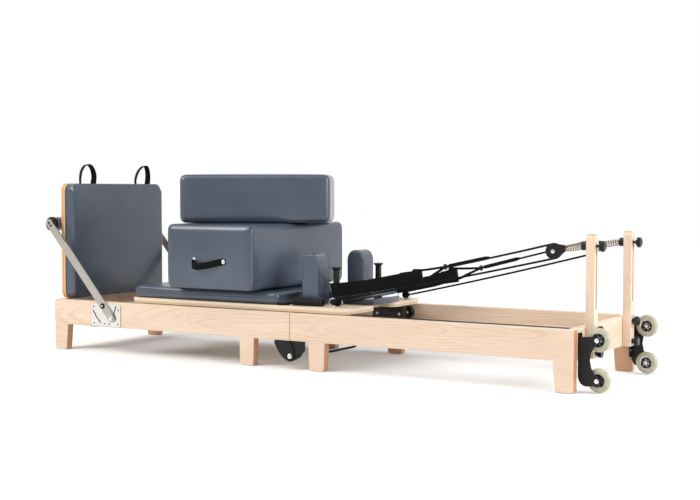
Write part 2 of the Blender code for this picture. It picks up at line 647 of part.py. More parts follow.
def hand_straps(body):
    """Webbing loops hung on the posts; a loop is one ring, seen from above a long eye."""
    stations = (0.200, 0.280, 0.360, 0.440, 0.500, 0.560)
    for side, sign in SIDES.items():
        y = sign * POST_Y

        def eye(turn_radius, end_x, end_half):
            """Half of the eye's outline, from its left tip to its right tip."""
            points = arc(POST_X, 0, turn_radius, 180, 90, 4)
            for x in stations:
                along = (x - POST_X) / (end_x - POST_X)
                points.append((x, turn_radius + (end_half - turn_radius) * along))
            points += [(end_x, end_half), (end_x + 0.3 * end_half, 0)]
            return points

        bm = bmesh.new()
        rings = []
        for radius, end_x, end_half in ((0.0195, STRAP_END_X - 0.002, 0.0062),
                                        (0.0165, STRAP_END_X - 0.010, 0.0032)):
            upper = eye(radius, end_x, end_half)
            loop = upper + [(x, -v) for x, v in reversed(upper[1:-1])]
            levels = []
            for edge in (-1, 1):
                ring = []
                for x, v in loop:
                    middle, half = strap_height(x, sign)
                    ring.append(bm.verts.new((x, y + v, middle + edge * half)))
                levels.append(ring)
            rings.append(levels)
        (out_low, out_high), (in_low, in_high) = rings
        count = len(out_low)
        for i in range(count):
            j = (i + 1) % count
            bm.faces.new((out_low[i], out_low[j], out_high[j], out_high[i]))
            bm.faces.new((in_low[i], in_high[i], in_high[j], in_low[j]))
            bm.faces.new((out_high[i], out_high[j], in_high[j], in_high[i]))
            bm.faces.new((out_low[i], in_low[i], in_low[j], out_low[j]))
        mesh_object(f"hand_strap_{side}", bm, "webbing", body)


def rope_hank(body):
    """The spare rope, wound into a hank that lies along the plate's near edge."""
    half, radius = 0.074, 0.0155
    profile = [(0, -half), (radius * 0.7, -half + 0.003), (radius, -half + 0.010),
               (radius, half - 0.010), (radius * 0.7, half - 0.003), (0, half)]
    bm = turned(bmesh.new(), profile, 12, "X")
    bmesh.ops.rotate(bm, verts=bm.verts, matrix=Matrix.Rotation(math.radians(7), 3, "Z"))
    mesh_object("rope_hank", bm, "webbing", body,
                (0.076, -0.2500, PLATE_TOP + GAP + radius))


def carriage_wheels(body):
    profile = [(0.0043, -0.010), (TRUCK_R - 0.002, -0.010), (TRUCK_R, -0.008),
               (TRUCK_R, 0.008), (TRUCK_R - 0.002, 0.010), (0.0043, 0.010)]
    for side, sign in SIDES.items():
        for end, x in TRUCK_XS.items():
            mesh_object(f"carriage_wheel_{end}_{side}", turned(bmesh.new(), profile, 16),
                        "plastic", body, (x, sign * TRUCK_Y, TRUCK_Z))


def springs(foot):
    """Outer shapes of the coil springs between the beam and the carriage's spring block."""
    start, end = SPRING_BEAM[1] + GAP, SPRING_BLOCK[0] - GAP
    for number, y in enumerate(SPRING_YS, start=1):
        coil = cylinder(bmesh.new(), "X", (y, SPRING_Z), SPRING_R, start, end, 10)
        mesh_object(f"spring_{number}", coil, "steel", foot)


def loose_boxes(body):
    sitting = box(bmesh.new(), (BOX_X0, -BOX_HALF, BOX_LOW), (BOX_X1, BOX_HALF, BOX_TOP))
    bevel_edges(sitting, lambda e: True, 0.018, 2)
    mesh_object("sitting_box", sitting, "leather", body)
    long, deep, high = CUSHION
    cushion = box(bmesh.new(), (-long / 2, -deep / 2, 0), (long / 2, deep / 2, high))
    bevel_edges(cushion, lambda e: True, 0.018, 2)
    bmesh.ops.rotate(cushion, verts=cushion.verts,
                     matrix=Matrix.Rotation(CUSHION_TURN, 3, "Z"))
    mesh_object("box_cushion", cushion, "leather", body,
                (CUSHION_X, 0, BOX_TOP + GAP))


# ---------------------------------------------------------------- assembly

def build():
    clear_scene()
    root = axis_empty("foot_frame", None, (-LENGTH_MIDDLE, 0, 0))
    head = axis_empty("fold_axis", root, (PIVOT[0], 0, PIVOT[1]))
    carriage = axis_empty("carriage_slide", root, (0, 0, TRUCK_Z))
    bar = axis_empty("footbar_axis", root, (ARM_PIVOT[0], 0, ARM_PIVOT[1]))
    jump = axis_empty("jumpboard_slide", root, (PEG_X, 0, JUMP_LOW))

    side_frames(root, head)
    cross_pieces(root, head)
    fold_hinges(root, head)
    footbar(root, bar)
    jumpboard(jump)
    springs(root)

    risers(head)
    pulleys(head)
    wheel_brackets(head)
    transport_wheels(head)
    for side, sign in SIDES.items():
        tube(f"rope_{side}", rope_path(sign), ROPE_R, "webbing", head)

    carriage_plate(carriage)
    carriage_pad(carriage)
    headrest(carriage)
    shoulder_rests(carriage)
    strap_posts(carriage)
    hand_straps(carriage)
    rope_hank(carriage)
    carriage_wheels(carriage)
    loose_boxes(carriage)


build()
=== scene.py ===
"""Looks of the folding pilates reformer: upholstery, wood, webbing, ropes, springs, wheels
and fittings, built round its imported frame. Metres, +Z up."""

import math

import bmesh
import bpy
import numpy as np
from mathutils import Matrix, Vector


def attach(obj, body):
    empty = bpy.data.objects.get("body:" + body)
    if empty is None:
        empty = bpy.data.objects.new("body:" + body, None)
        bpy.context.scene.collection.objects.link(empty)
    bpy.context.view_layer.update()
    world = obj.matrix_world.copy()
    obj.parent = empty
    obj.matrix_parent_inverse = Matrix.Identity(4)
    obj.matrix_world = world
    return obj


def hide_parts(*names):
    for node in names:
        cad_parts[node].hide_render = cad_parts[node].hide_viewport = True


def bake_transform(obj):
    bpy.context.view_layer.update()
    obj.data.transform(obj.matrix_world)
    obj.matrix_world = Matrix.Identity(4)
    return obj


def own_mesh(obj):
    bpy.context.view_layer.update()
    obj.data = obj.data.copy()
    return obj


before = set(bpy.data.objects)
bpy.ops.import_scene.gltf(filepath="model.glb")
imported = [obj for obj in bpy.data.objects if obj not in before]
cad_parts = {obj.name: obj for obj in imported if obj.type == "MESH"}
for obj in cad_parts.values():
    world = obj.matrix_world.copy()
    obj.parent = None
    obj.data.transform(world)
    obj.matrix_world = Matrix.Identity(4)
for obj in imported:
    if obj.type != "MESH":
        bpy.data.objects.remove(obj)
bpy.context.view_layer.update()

SHIFT = -0.03275          # sizes below are seen from the middle of the wooden frame
SIDES = {"near": -1, "far": 1}
OUTWARD = {"near": "-Y", "far": "+Y"}
INWARD = {"near": "+Y", "far": "-Y"}
FACES = {"out": -1, "in": 1}
FOLD_AXIS = (0.040, 0.050)
RISER_Y, BOLT_Z = 0.1965, 0.500
PULLEY = (1.075, 0.479)
CHEEK = 0.0095            # half the width of a pulley block
WHEELS = {"low": 0.044, "top": 0.183}
WHEEL_X, WHEEL_Y = 1.268, 0.262
ROLLERS = {"foot": -0.750, "head": 0.237}
ROLLER_Y, ROLLER_Z = 0.275, 0.182
ARM_PIVOT = (-0.864, 0.149)
BAR_AXIS = (-1.2145, 0.546)
ARM_FACE = 0.3377         # outer face of a footbar arm, across
BOX_FACE = 0.3475
CUSHION_X, CUSHION_TURN = -0.334, math.radians(28)
PAD_FOOT, PAD_SHOULDER, PAD_HALF = -0.800, -0.0455, 0.2855
POST_X, STRAP_Y = 0.155, 0.165
SPRINGS = {1: -0.150, 2: -0.050, 3: 0.050, 4: 0.150}
SPRING_Z = 0.170
ROPE_R = 0.0039
ROPE_TURN = 0.0255
FOAM = {"quality": 4, "mass": 0.3, "tension_stiffness": 18, "compression_stiffness": 18,
        "shear_stiffness": 8, "bending_stiffness": 1.5, "use_pressure": True,
        "uniform_pressure_force": 4.0}
FOAM_FRAMES = 20


# ---------------------------------------------------------------- camera

camera_data = bpy.data.cameras.new("camera")
camera_data.sensor_width = 36
camera_data.lens = 63.66
camera_data.shift_x = -0.0038
camera_data.shift_y = 0.0011
camera = bpy.data.objects.new("camera", camera_data)
bpy.context.collection.objects.link(camera)
camera.location = (2.7139 + SHIFT, -4.2888, 0.690)
camera.rotation_euler = (math.pi / 2 - 0.0482, 0, 0.5423)
bpy.context.scene.camera = camera


# ---------------------------------------------------------------- materials

class Paint:
    """A material under construction: its shader, and shorthand for adding nodes."""

    def __init__(self, name, colour, roughness, metallic=0.0, **sockets):
        self.material = bpy.data.materials.new(name)
        self.material.use_nodes = True
        self.tree = self.material.node_tree
        self.shader = self.tree.nodes["Principled BSDF"]
        self.coord = self.tree.nodes.new("ShaderNodeTexCoord")
        sockets.update(Base_Color=(*colour, 1.0), Roughness=roughness, Metallic=metallic)
        for socket, value in sockets.items():
            self.shader.inputs[socket.replace("_", " ")].default_value = value

    def node(self, kind, **values):
        """Adds a node; values are its settings and, with _ for a space, its inputs."""
        made = self.tree.nodes.new("ShaderNode" + kind)
        for key, value in values.items():
            if hasattr(made, key):
                setattr(made, key, value)
            else:
                made.inputs[key.replace("_", " ")].default_value = value
        return made

    def link(self, start, end):
        self.tree.links.new(start, end)

    def mapped(self, scale=(1, 1, 1), location=(0, 0, 0), rotation=(0, 0, 0)):
        mapping = self.node("Mapping", Scale=scale, Location=location, Rotation=rotation)
        self.link(self.coord.outputs["Object"], mapping.inputs["Vector"])
        return mapping.outputs["Vector"]

    def noise(self, vector, scale, detail=3.0, roughness=0.5, output="Fac"):
        made = self.node("TexNoise", Scale=scale, Detail=detail, Roughness=roughness)
        self.link(vector, made.inputs["Vector"])
        return made.outputs[output]

    def ramp(self, fac, *stops):
        """Stops are (place, colour); a number stands for a grey."""
        made = self.node("ValToRGB")
        ramp = made.color_ramp
        while len(ramp.elements) < len(stops):
            ramp.elements.new(0.5)
        for element, (place, colour) in zip(ramp.elements, stops):
            element.position = place
            element.color = (*colour, 1.0) if isinstance(colour, tuple) else (*[colour] * 3, 1.0)
        self.link(fac, made.inputs["Fac"])
        return made.outputs["Color"]

    def mix(self, fac, first, second, blend="MIX"):
        made = self.node("Mix", data_type="RGBA", blend_type=blend)
        for value, socket in ((fac, 0), (first, 6), (second, 7)):
            if isinstance(value, bpy.types.NodeSocket):
                self.link(value, made.inputs[socket])
            elif isinstance(value, (int, float)):
                made.inputs[socket].default_value = value
            else:
                made.inputs[socket].default_value = (*value, 1.0)
        return made.outputs[2]

    def spread(self, value, low, high, to_low=0.0, to_high=1.0):
        """Maps low to high of a value onto another range, and no further."""
        made = self.node("MapRange", From_Min=low, From_Max=high, To_Min=to_low, To_Max=to_high)
        self.link(value, made.inputs["Value"])
        return made.outputs["Result"]

    def part(self, output, axis):
        """One axis of the place or the normal."""
        made = self.node("SeparateXYZ")
        self.link(self.coord.outputs[output], made.inputs["Vector"])
        return made.outputs[axis]

    def facing(self, axis):
        """1 on faces square to the axis, falling to 0 on the others."""
        size = self.node("Math", operation="ABSOLUTE")
        self.link(self.part("Normal", axis), size.inputs[0])
        return self.spread(size.outputs[0], 0.70, 0.95)

    def bump(self, height, strength, distance):
        made = self.node("Bump", Strength=strength, Distance=distance)
        self.link(height, made.inputs["Height"])
        before = self.shader.inputs["Normal"]
        if before.is_linked:
            self.link(before.links[0].from_socket, made.inputs["Normal"])
        self.link(made.outputs["Normal"], before)

    def colour(self, socket):
        self.link(socket, self.shader.inputs["Base Color"])

    def roughness(self, fac, low, high):
        self.link(self.spread(fac, 0.0, 1.0, low, high), self.shader.inputs["Roughness"])


def scaled(colour, factor):
    return tuple(c * factor for c in colour)


def grain_axes(axis, along, across):
    scale = [across] * 3
    scale["XYZ".index(axis)] = along
    return tuple(scale)


def maple(name, axis, pith, tilt, shade_below=None):
    """Pale maple. Growth rings lie round the pith, a line along axis that runs slightly
    askew, so that a face beside it shows long arches. Faces square to the axis are darker and
    redder: partly the end grain, partly painted shade on those faces. Below the height given
    as the last argument the wood is painted browner, as shade under the frame."""
    paint = Paint(name, (0.80, 0.62, 0.46), 0.40, Coat_Weight=0.20, Coat_Roughness=0.22)
    warp = paint.noise(paint.mapped(grain_axes(axis, 0.8, 2.0)), 2.4, output="Color")
    moved = paint.node("VectorMath", operation="MULTIPLY_ADD")
    paint.link(warp, moved.inputs[0])
    moved.inputs[1].default_value = (0.07, 0.07, 0.07)
    paint.link(paint.mapped((1, 1, 1), [-c - 0.035 for c in pith], tilt), moved.inputs[2])
    rings = paint.node("TexWave", wave_type="RINGS", rings_direction=axis, Scale=33.0,
                       Distortion=1.6, Detail=2.0, Detail_Scale=1.5)
    paint.link(moved.outputs[0], rings.inputs["Vector"])
    line = paint.ramp(rings.outputs["Fac"], (0.0, 0.0), (0.62, 0.06), (0.93, 0.80), (1.0, 1.0))
    patch = paint.noise(paint.mapped(grain_axes(axis, 0.8, 3.0), (3, 1, 7)), 3.2, 2.0)
    lines = paint.mix(1.0, line, paint.ramp(patch, (0.38, 0.06), (0.64, 0.36)), "MULTIPLY")
    tone = paint.noise(paint.mapped(grain_axes(axis, 0.9, 6.0)), 2.2)
    cream = paint.ramp(tone, (0.30, (0.70, 0.535, 0.400)), (0.70, (0.76, 0.605, 0.475)))
    body = paint.mix(lines, cream, (0.52, 0.30, 0.175))
    fibre = paint.noise(paint.mapped(grain_axes(axis, 7.0, 240.0)), 1.0, 3.0, 0.6)
    streak = paint.ramp(fibre, (0.32, (0.90, 0.88, 0.86)), (0.62, 1.0))
    body = paint.mix(1.0, body, streak, "MULTIPLY")
    fleck = paint.noise(paint.mapped(grain_axes(axis, 60.0, 500.0)), 1.0, 1.0)
    fleck = paint.ramp(fleck, (0.66, 1.0), (0.74, (0.86, 0.80, 0.74)))
    body = paint.mix(1.0, body, fleck, "MULTIPLY")
    # Painted shade: below the given height the colour is multiplied browner, standing for the shade
    # under the frame.
    if shade_below is not None:
        under = paint.spread(paint.part("Object", "Z"), shade_below + 0.001, shade_below)
        painted_shade = paint.mix(1.0, body, (0.66, 0.50, 0.38), "MULTIPLY")
        body = paint.mix(under, body, painted_shade)
    # Faces square to the grain axis are darker and redder: partly the real end grain, partly
    # painted shade on those faces.
    ends = paint.mix(0.55, (0.50, 0.25, 0.125), streak, "MULTIPLY")
    paint.colour(paint.mix(paint.facing(axis), body, ends))
    paint.roughness(fibre, 0.34, 0.50)
    paint.bump(fibre, 0.10, 0.0006)
    return paint.material


def plywood(name, stack, layer, face, dark, light):
    """Veneer faces, with the layers showing along the edges; stack is the layers' axis."""
    paint = Paint(name, face, 0.45)
    bands = paint.node("TexWave", wave_type="BANDS", bands_direction=stack, Scale=0.05 / layer,
                       Distortion=0.25, Detail=1.0, Detail_Scale=30.0)
    paint.link(paint.mapped(), bands.inputs["Vector"])
    fibre = paint.noise(paint.mapped((60, 60, 60)), 4.0, 4.0, 0.7)
    edge = paint.ramp(bands.outputs["Fac"], (0.25, dark), (0.55, light))
    edge = paint.mix(0.22, edge, paint.ramp(fibre, (0.3, dark), (0.7, light)))
    grain = paint.noise(paint.mapped((3, 90, 90)), 1.0, 3.0, 0.6)
    veneer = paint.ramp(grain, (0.3, scaled(face, 0.9)), (0.7, face))
    paint.colour(paint.mix(paint.facing(stack), edge, veneer))
    paint.roughness(fibre, 0.38, 0.55)
    paint.bump(fibre, 0.08, 0.0008)
    return paint.material


def leather(name, base, roughness):
    """Artificial leather: fine pebbled grain, slow tone changes and a soft gloss."""
    paint = Paint(name, base, roughness, Specular_IOR_Level=0.55, Coat_Weight=0.35,
                  Coat_Roughness=0.18)
    cloud = paint.noise(paint.mapped(), 5.0)
    tone = paint.ramp(cloud, (0.35, scaled(base, 0.88)), (0.65, scaled(base, 1.10)))
    cells = paint.node("TexVoronoi", feature="DISTANCE_TO_EDGE", Scale=620.0)
    paint.link(paint.mapped(), cells.inputs["Vector"])
    pores = paint.ramp(cells.outputs["Distance"], (0.0, 0.90), (0.20, 1.0))
    paint.colour(paint.mix(1.0, tone, pores, "MULTIPLY"))
    rub = paint.noise(paint.mapped((1, 1, 1), (5, 2, 1)), 14.0, 4.0)
    paint.roughness(rub, roughness - 0.05, roughness + 0.08)
    paint.bump(cells.outputs["Distance"], 0.16, 0.0005)
    paint.bump(paint.noise(paint.mapped(), 38.0, 2.0), 0.10, 0.0014)
    return paint.material


def brushed(name, axis, colour, roughness):
    paint = Paint(name, colour, roughness, 1.0)
    streak = paint.noise(paint.mapped(grain_axes(axis, 8.0, 900.0)), 1.0, 3.0, 0.6)
    high = tuple(min(1.0, c) for c in scaled(colour, 1.10))
    paint.colour(paint.ramp(streak, (0.3, scaled(colour, 0.82)), (0.7, high)))
    paint.roughness(streak, roughness - 0.06, roughness + 0.12)
    paint.bump(streak, 0.12, 0.0003)
    return paint.material


def plain_metal(name, colour, roughness):
    paint = Paint(name, colour, roughness, 1.0)
    cloud = paint.noise(paint.mapped(), 90.0)
    paint.colour(paint.ramp(cloud, (0.3, scaled(colour, 0.85)), (0.7, colour)))
    paint.roughness(cloud, roughness * 0.8, roughness * 1.4)
    return paint.material


def coated(name, colour, roughness, grain=900.0, strength=0.12):
    """Powder coat or moulded plastic: a fine orange-peel skin."""
    paint = Paint(name, colour, roughness, Specular_IOR_Level=0.32)
    skin = paint.noise(paint.mapped(), grain, 2.0)
    rub = paint.noise(paint.mapped(), 25.0, 4.0)
    paint.colour(paint.ramp(rub, (0.35, colour), (0.75, scaled(colour, 1.6))))
    paint.roughness(rub, roughness - 0.06, roughness + 0.10)
    paint.bump(skin, strength, 0.0003)
    return paint.material


def webbing(name, colour=(0.0035, 0.0037, 0.0042), pitch=0.0022):
    """Woven polyester: a small diagonal weave with a slight sheen."""
    paint = Paint(name, colour, 0.80, Specular_IOR_Level=0.12)
    waves = []
    for turn in (0.0, 1.5708):
        wave = paint.node("TexWave", wave_type="BANDS", bands_direction="DIAGONAL",
                          Scale=0.35 / pitch, Distortion=0.4, Detail=1.0)
        paint.link(paint.mapped((1, 1, 1), (0, 0, 0), (0, turn, 0)), wave.inputs["Vector"])
        waves.append(wave.outputs["Color"])
    weave = paint.mix(1.0, *waves, "MULTIPLY")
    paint.colour(paint.ramp(weave, (0.0, scaled(colour, 0.6)), (0.6, scaled(colour, 1.5))))
    paint.bump(weave, 0.35, 0.0006)
    return paint.material


def tyre_rubber(name):
    """Translucent olive urethane."""
    paint = Paint(name, (0.42, 0.40, 0.29), 0.32, Subsurface_Weight=0.15,
                  Subsurface_Radius=(0.01, 0.008, 0.004), Subsurface_Scale=0.3)
    cloud = paint.noise(paint.mapped(), 60.0, 4.0)
    paint.colour(paint.ramp(cloud, (0.3, (0.36, 0.34, 0.24)), (0.7, (0.47, 0.45, 0.34))))
    paint.roughness(cloud, 0.26, 0.46)
    return paint.material


MAPLE_X = maple("maple_along", "X", (0.0, -0.285, 0.165), (0.0, 0.030, 0.075))
# Far side copy: painted browner below 0.110 m, as shade on the legs under the frame.
MAPLE_X_FAR_SHADED = maple("maple_along_far_shaded", "X", (0.0, 0.240, 0.150), (0.0, 0.025, -0.045), 0.110)
MAPLE_Y = maple("maple_across", "Y", (1.10, 0.0, 0.150), (0.03, 0.0, 0.05))
MAPLE_Z = maple("maple_upright", "Z", (1.150, -0.170, 0.0), (0.05, 0.03, 0.0))
PLY_PLATE = plywood("ply_carriage", "Z", 0.0030, (0.74, 0.61, 0.47), (0.60, 0.44, 0.29),
                    (0.76, 0.64, 0.49))
PLY_PANEL = plywood("ply_panel", "X", 0.0040, (0.72, 0.50, 0.30), (0.52, 0.26, 0.11),
                    (0.74, 0.45, 0.22))
LEATHER = leather("slate_leather", (0.051, 0.070, 0.104), 0.30)
LEATHER_SEAM = leather("slate_seam", (0.022, 0.030, 0.045), 0.5)
THREAD = coated("thread", (0.020, 0.028, 0.042), 0.6)
ARM_STEEL = brushed("arm_steel", "X", (0.52, 0.48, 0.43), 0.34)
PLATE_STEEL = brushed("plate_steel", "X", (0.80, 0.78, 0.75), 0.30)
CHROME = plain_metal("chrome", (0.80, 0.80, 0.82), 0.12)
BRASS = plain_metal("yellow_plate", (0.36, 0.27, 0.18), 0.22)
SPRING_STEEL = plain_metal("spring_steel", (0.55, 0.55, 0.56), 0.28)
TRACK = plain_metal("track_grey", (0.14, 0.14, 0.15), 0.4)
SCREW = plain_metal("dark_screw", (0.10, 0.095, 0.09), 0.35)
# Dark sheet for behind the footbar plates' slots: painted shade in the slots.
SLOT_SHADE = coated("slot_shade_sheet", (0.045, 0.028, 0.020), 0.6)
BLACK_STEEL = coated("black_coat", (0.0035, 0.0037, 0.0042), 0.42)
PLASTIC = coated("black_plastic", (0.0040, 0.0042, 0.0050), 0.26, 500.0)
RUBBER = coated("black_rubber", (0.007, 0.007, 0.008), 0.80, 700.0, 0.2)
DARK_PANEL = coated("runner_cover", (0.016, 0.014, 0.012), 0.30)
HANK = coated("hank_braid", (0.0060, 0.0062, 0.0075), 0.34, 300.0, 0.3)
WEBBING = webbing("webbing")
ROPE = webbing("rope_braid", (0.0045, 0.0047, 0.0055), 0.0030)
TYRE = tyre_rubber("olive_tyre")


# ---------------------------------------------------------------- mesh helpers

def piece(name, bm, material, body, smooth=35, shift=True):
    """Makes an object from bm, moved from frame measures to the row's, riding on a body."""
    bmesh.ops.recalc_face_normals(bm, faces=bm.faces)
    mesh = bpy.data.meshes.new(name)
    bm.to_mesh(mesh)
    bm.free()
    if shift:
        mesh.transform(Matrix.Translation((SHIFT, 0, 0)))
    mesh.shade_smooth()
    mesh.set_sharp_from_angle(angle=math.radians(smooth))
    mesh.materials.append(material)
    obj = bpy.data.objects.new(name, mesh)
    bpy.context.collection.objects.link(obj)
    if body:
        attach(obj, body)
    return obj


def stands_for(obj, node):
    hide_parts(node)
    return obj


def across(sign, near_edge, far_edge):
    """Two depths across the frame, in rising order, on the side that sign names."""
    return sorted((sign * near_edge, sign * far_edge))


def placed(bm, matrix):
    bmesh.ops.transform(bm, verts=bm.verts, matrix=matrix)
    return bm


def add(bm, other):
    """Adds the shapes in other to bm."""
    mesh = bpy.data.meshes.new("added")
    other.to_mesh(mesh)
    other.free()
    bm.from_mesh(mesh)
    bpy.data.meshes.remove(mesh)


def arc(cx, cy, radius, start, end, steps):
    turns = [math.radians(start + (end - start) * i / steps) for i in range(steps + 1)]
    return [(cx + radius * math.cos(a), cy + radius * math.sin(a)) for a in turns]


def rounded_rectangle(x0, x1, y0, y1, radius, steps=6):
    corners = ((x1 - radius, y0 + radius, -90), (x1 - radius, y1 - radius, 0),
               (x0 + radius, y1 - radius, 90), (x0 + radius, y0 + radius, 180))
    outline = []
    for cx, cy, start in corners:
        outline += arc(cx, cy, radius, start, start + 90, steps)
    return outline


def mirrored(outline):
    """An outline and its mirror image across y = 0, as one closed loop."""
    return outline + [(u, -v) for u, v in reversed(outline)]


def rounded(bm, edges, width, segments):
    bmesh.ops.bevel(bm, geom=list(edges), offset=width, segments=segments, profile=0.5,
                    affect="EDGES", clamp_overlap=True)
    return bm


def prism(plane, outline, low, high, bevel=0.0, segments=2):
    bm = bmesh.new()
    ends = []
    for depth in (low, high):
        ends.append([bm.verts.new({"XY": (u, v, depth), "XZ": (u, depth, v),
                                   "YZ": (depth, u, v)}[plane]) for u, v in outline])
    faces = [bm.faces.new(ends[0]), bm.faces.new(ends[1])]
    count = len(outline)
    for i in range(count):
        j = (i + 1) % count
        bm.faces.new((ends[0][i], ends[0][j], ends[1][j], ends[1][i]))
    if bevel:
        rounded(bm, [*faces[0].edges, *faces[1].edges], bevel, segments)
    return bm


def rounded_box(low, high, radius, segments):
    bm = bmesh.new()
    bmesh.ops.create_cube(bm, size=1.0)
    for v in bm.verts:
        v.co = Vector((a + b) / 2 + (b - a) * k for a, b, k in zip(low, high, v.co))
    return rounded(bm, bm.edges, radius, segments)


def slab(name, x, y, z, radius, segments, material, body):
    """A box with rounded edges between two values each of x, y and z."""
    return piece(name, rounded_box(*zip(x, y, z), radius, segments), material, body)


def lathe(profile, steps, axis, at, flip=1):
    """Turns (radius, height) points about an axis through at; closes a ring profile. A flip
    of -1 points the heights down the axis."""
    bm = bmesh.new()
    turn = {"X": Matrix.Rotation(math.pi / 2, 3, "Y"), "Z": Matrix.Identity(3),
            "Y": Matrix.Rotation(-math.pi / 2, 3, "X")}[axis]
    rings = []
    for radius, height in profile:
        ring = []
        for i in range(1 if radius == 0 else steps):
            a = 2 * math.pi * i / steps
            local = Vector((radius * math.cos(a), radius * math.sin(a), height * flip))
            ring.append(bm.verts.new(turn @ local + Vector(at)))
        rings.append(ring)
    pairs = list(zip(rings, rings[1:]))
    if profile[0][0] != 0:
        pairs.append((rings[-1], rings[0]))
    for first, second in pairs:
        for i in range(steps):
            j = (i + 1) % steps
            quad = [first[i % len(first)], first[j % len(first)],
                    second[j % len(second)], second[i % len(second)]]
            bm.faces.new(list(dict.fromkeys(quad)))
    return bm


def turned(name, profile, steps, axis, at, material, body, flip=1, smooth=35):
    return piece(name, lathe(profile, steps, axis, at, flip), material, body, smooth)


def smooth_path(points, per_span=8):
    """Catmull-Rom curve through the points."""
    p = [Vector(q) for q in points]
    p = [2 * p[0] - p[1]] + p + [2 * p[-1] - p[-2]]
    path = []
    for i in range(1, len(p) - 2):
        for k in range(per_span):
            t = k / per_span
            a = 2 * p[i]
            b = (p[i + 1] - p[i - 1]) * t
            c = (2 * p[i - 1] - 5 * p[i] + 4 * p[i + 1] - p[i + 2]) * t * t
            d = (3 * p[i] - p[i - 1] - 3 * p[i + 1] + p[i + 2]) * t ** 3
            path.append((a + b + c + d) / 2)
    path.append(p[-2])
    return path


def sweep(path, section, up=(0, 0, 1), scales=None):
    """Sweeps a closed section of (side, up) points along a path, with flat ends. The
    section's up direction stays as near to up as the path lets it."""
    bm = bmesh.new()
    rings = []
    count = len(path)
    for i, here in enumerate(path):
        ahead = (path[min(i + 1, count - 1)] - path[max(i - 1, 0)]).normalized()
        top = Vector(up(i / (count - 1)) if callable(up) else up)
        side = ahead.cross(top).normalized()
        top = side.cross(ahead).normalized()
        size = scales(i / (count - 1)) if scales else (1, 1)
        rings.append([bm.verts.new(here + side * (u * size[0]) + top * (v * size[1]))
                      for u, v in section])
    for first, second in zip(rings, rings[1:]):
        for i in range(len(section)):
            j = (i + 1) % len(section)
            bm.faces.new((first[i], first[j], second[j], second[i]))
    bm.faces.new(rings[0])
    bm.faces.new(list(reversed(rings[-1])))
    return bm


def circle(radius, sides):
    return arc(0, 0, radius, 0, 360 - 360 / sides, sides - 1)


def band(thick, wide):
    """Section of webbing: thin to the sides, wide upwards, with eased edges."""
    t, w = thick / 2, wide / 2
    e = min(t, w) * 0.3
    return [(-t, -w + e), (-t + e, -w), (t - e, -w), (t, -w + e),
            (t, w - e), (t - e, w), (-t + e, w), (-t, w - e)]


def rod(name, path, radius, sides, material, body, up=(0, 0, 1), smooth=35):
    """A round bar or cord along a path."""
    return piece(name, sweep(path, circle(radius, sides), up), material, body, smooth)


def helix(start, end, radius, wire, turns, sides, per_turn):
    """A coil spring's wire, whose two ends run in to the middle line."""
    start, end = Vector(start), Vector(end)
    along = end - start
    side = along.orthogonal().normalized()
    other = along.normalized().cross(side)
    steps = int(turns * per_turn)
    path = []
    for i in range(steps + 1):
        t = i / steps
        a = 2 * math.pi * turns * t
        reach = radius * min(1.0, 0.15 + min(t, 1 - t) * turns)
        path.append(start + along * t + (side * math.cos(a) + other * math.sin(a)) * reach)
    return sweep(path, circle(wire, sides), along.normalized())


def eased(node, width, material, body):
    """A copy of a rigid CAD node with its sharp edges slightly rounded, standing for it."""
    bm = bmesh.new()
    bm.from_mesh(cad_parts[node].data)
    bmesh.ops.remove_doubles(bm, verts=bm.verts, dist=1e-5)
    bmesh.ops.dissolve_limit(bm, angle_limit=math.radians(0.5), verts=bm.verts, edges=bm.edges)
    edges = [e for e in bm.edges if len(e.link_faces) == 2
             and e.calc_face_angle(0) > math.radians(40)]
    rounded(bm, edges, width, 2)
    obj = piece(node + "_finished", bm, material, body, smooth=50, shift=False)
    modifier = obj.modifiers.new("normals", "WEIGHTED_NORMAL")
    modifier.keep_sharp = True
    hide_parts(node)


def repaint(node, material):
    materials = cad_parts[node].data.materials
    materials.clear()
    materials.append(material)


def bolt(name, axis, at, radius, height, material, body):
    """A bolt head with a washer, standing out along axis (+ or - before its letter)."""
    profile = [(0, 0), (radius * 1.45, 0), (radius * 1.45, height * 0.25),
               (radius * 1.02, height * 0.25), (radius, height * 0.85), (radius * 0.8, height),
               (radius * 0.42, height), (radius * 0.38, height * 0.55), (0, height * 0.55)]
    turned(name, profile, 20, axis[-1], at, material, body, -1 if axis[0] == "-" else 1)


# ---------------------------------------------------------------- upholstery

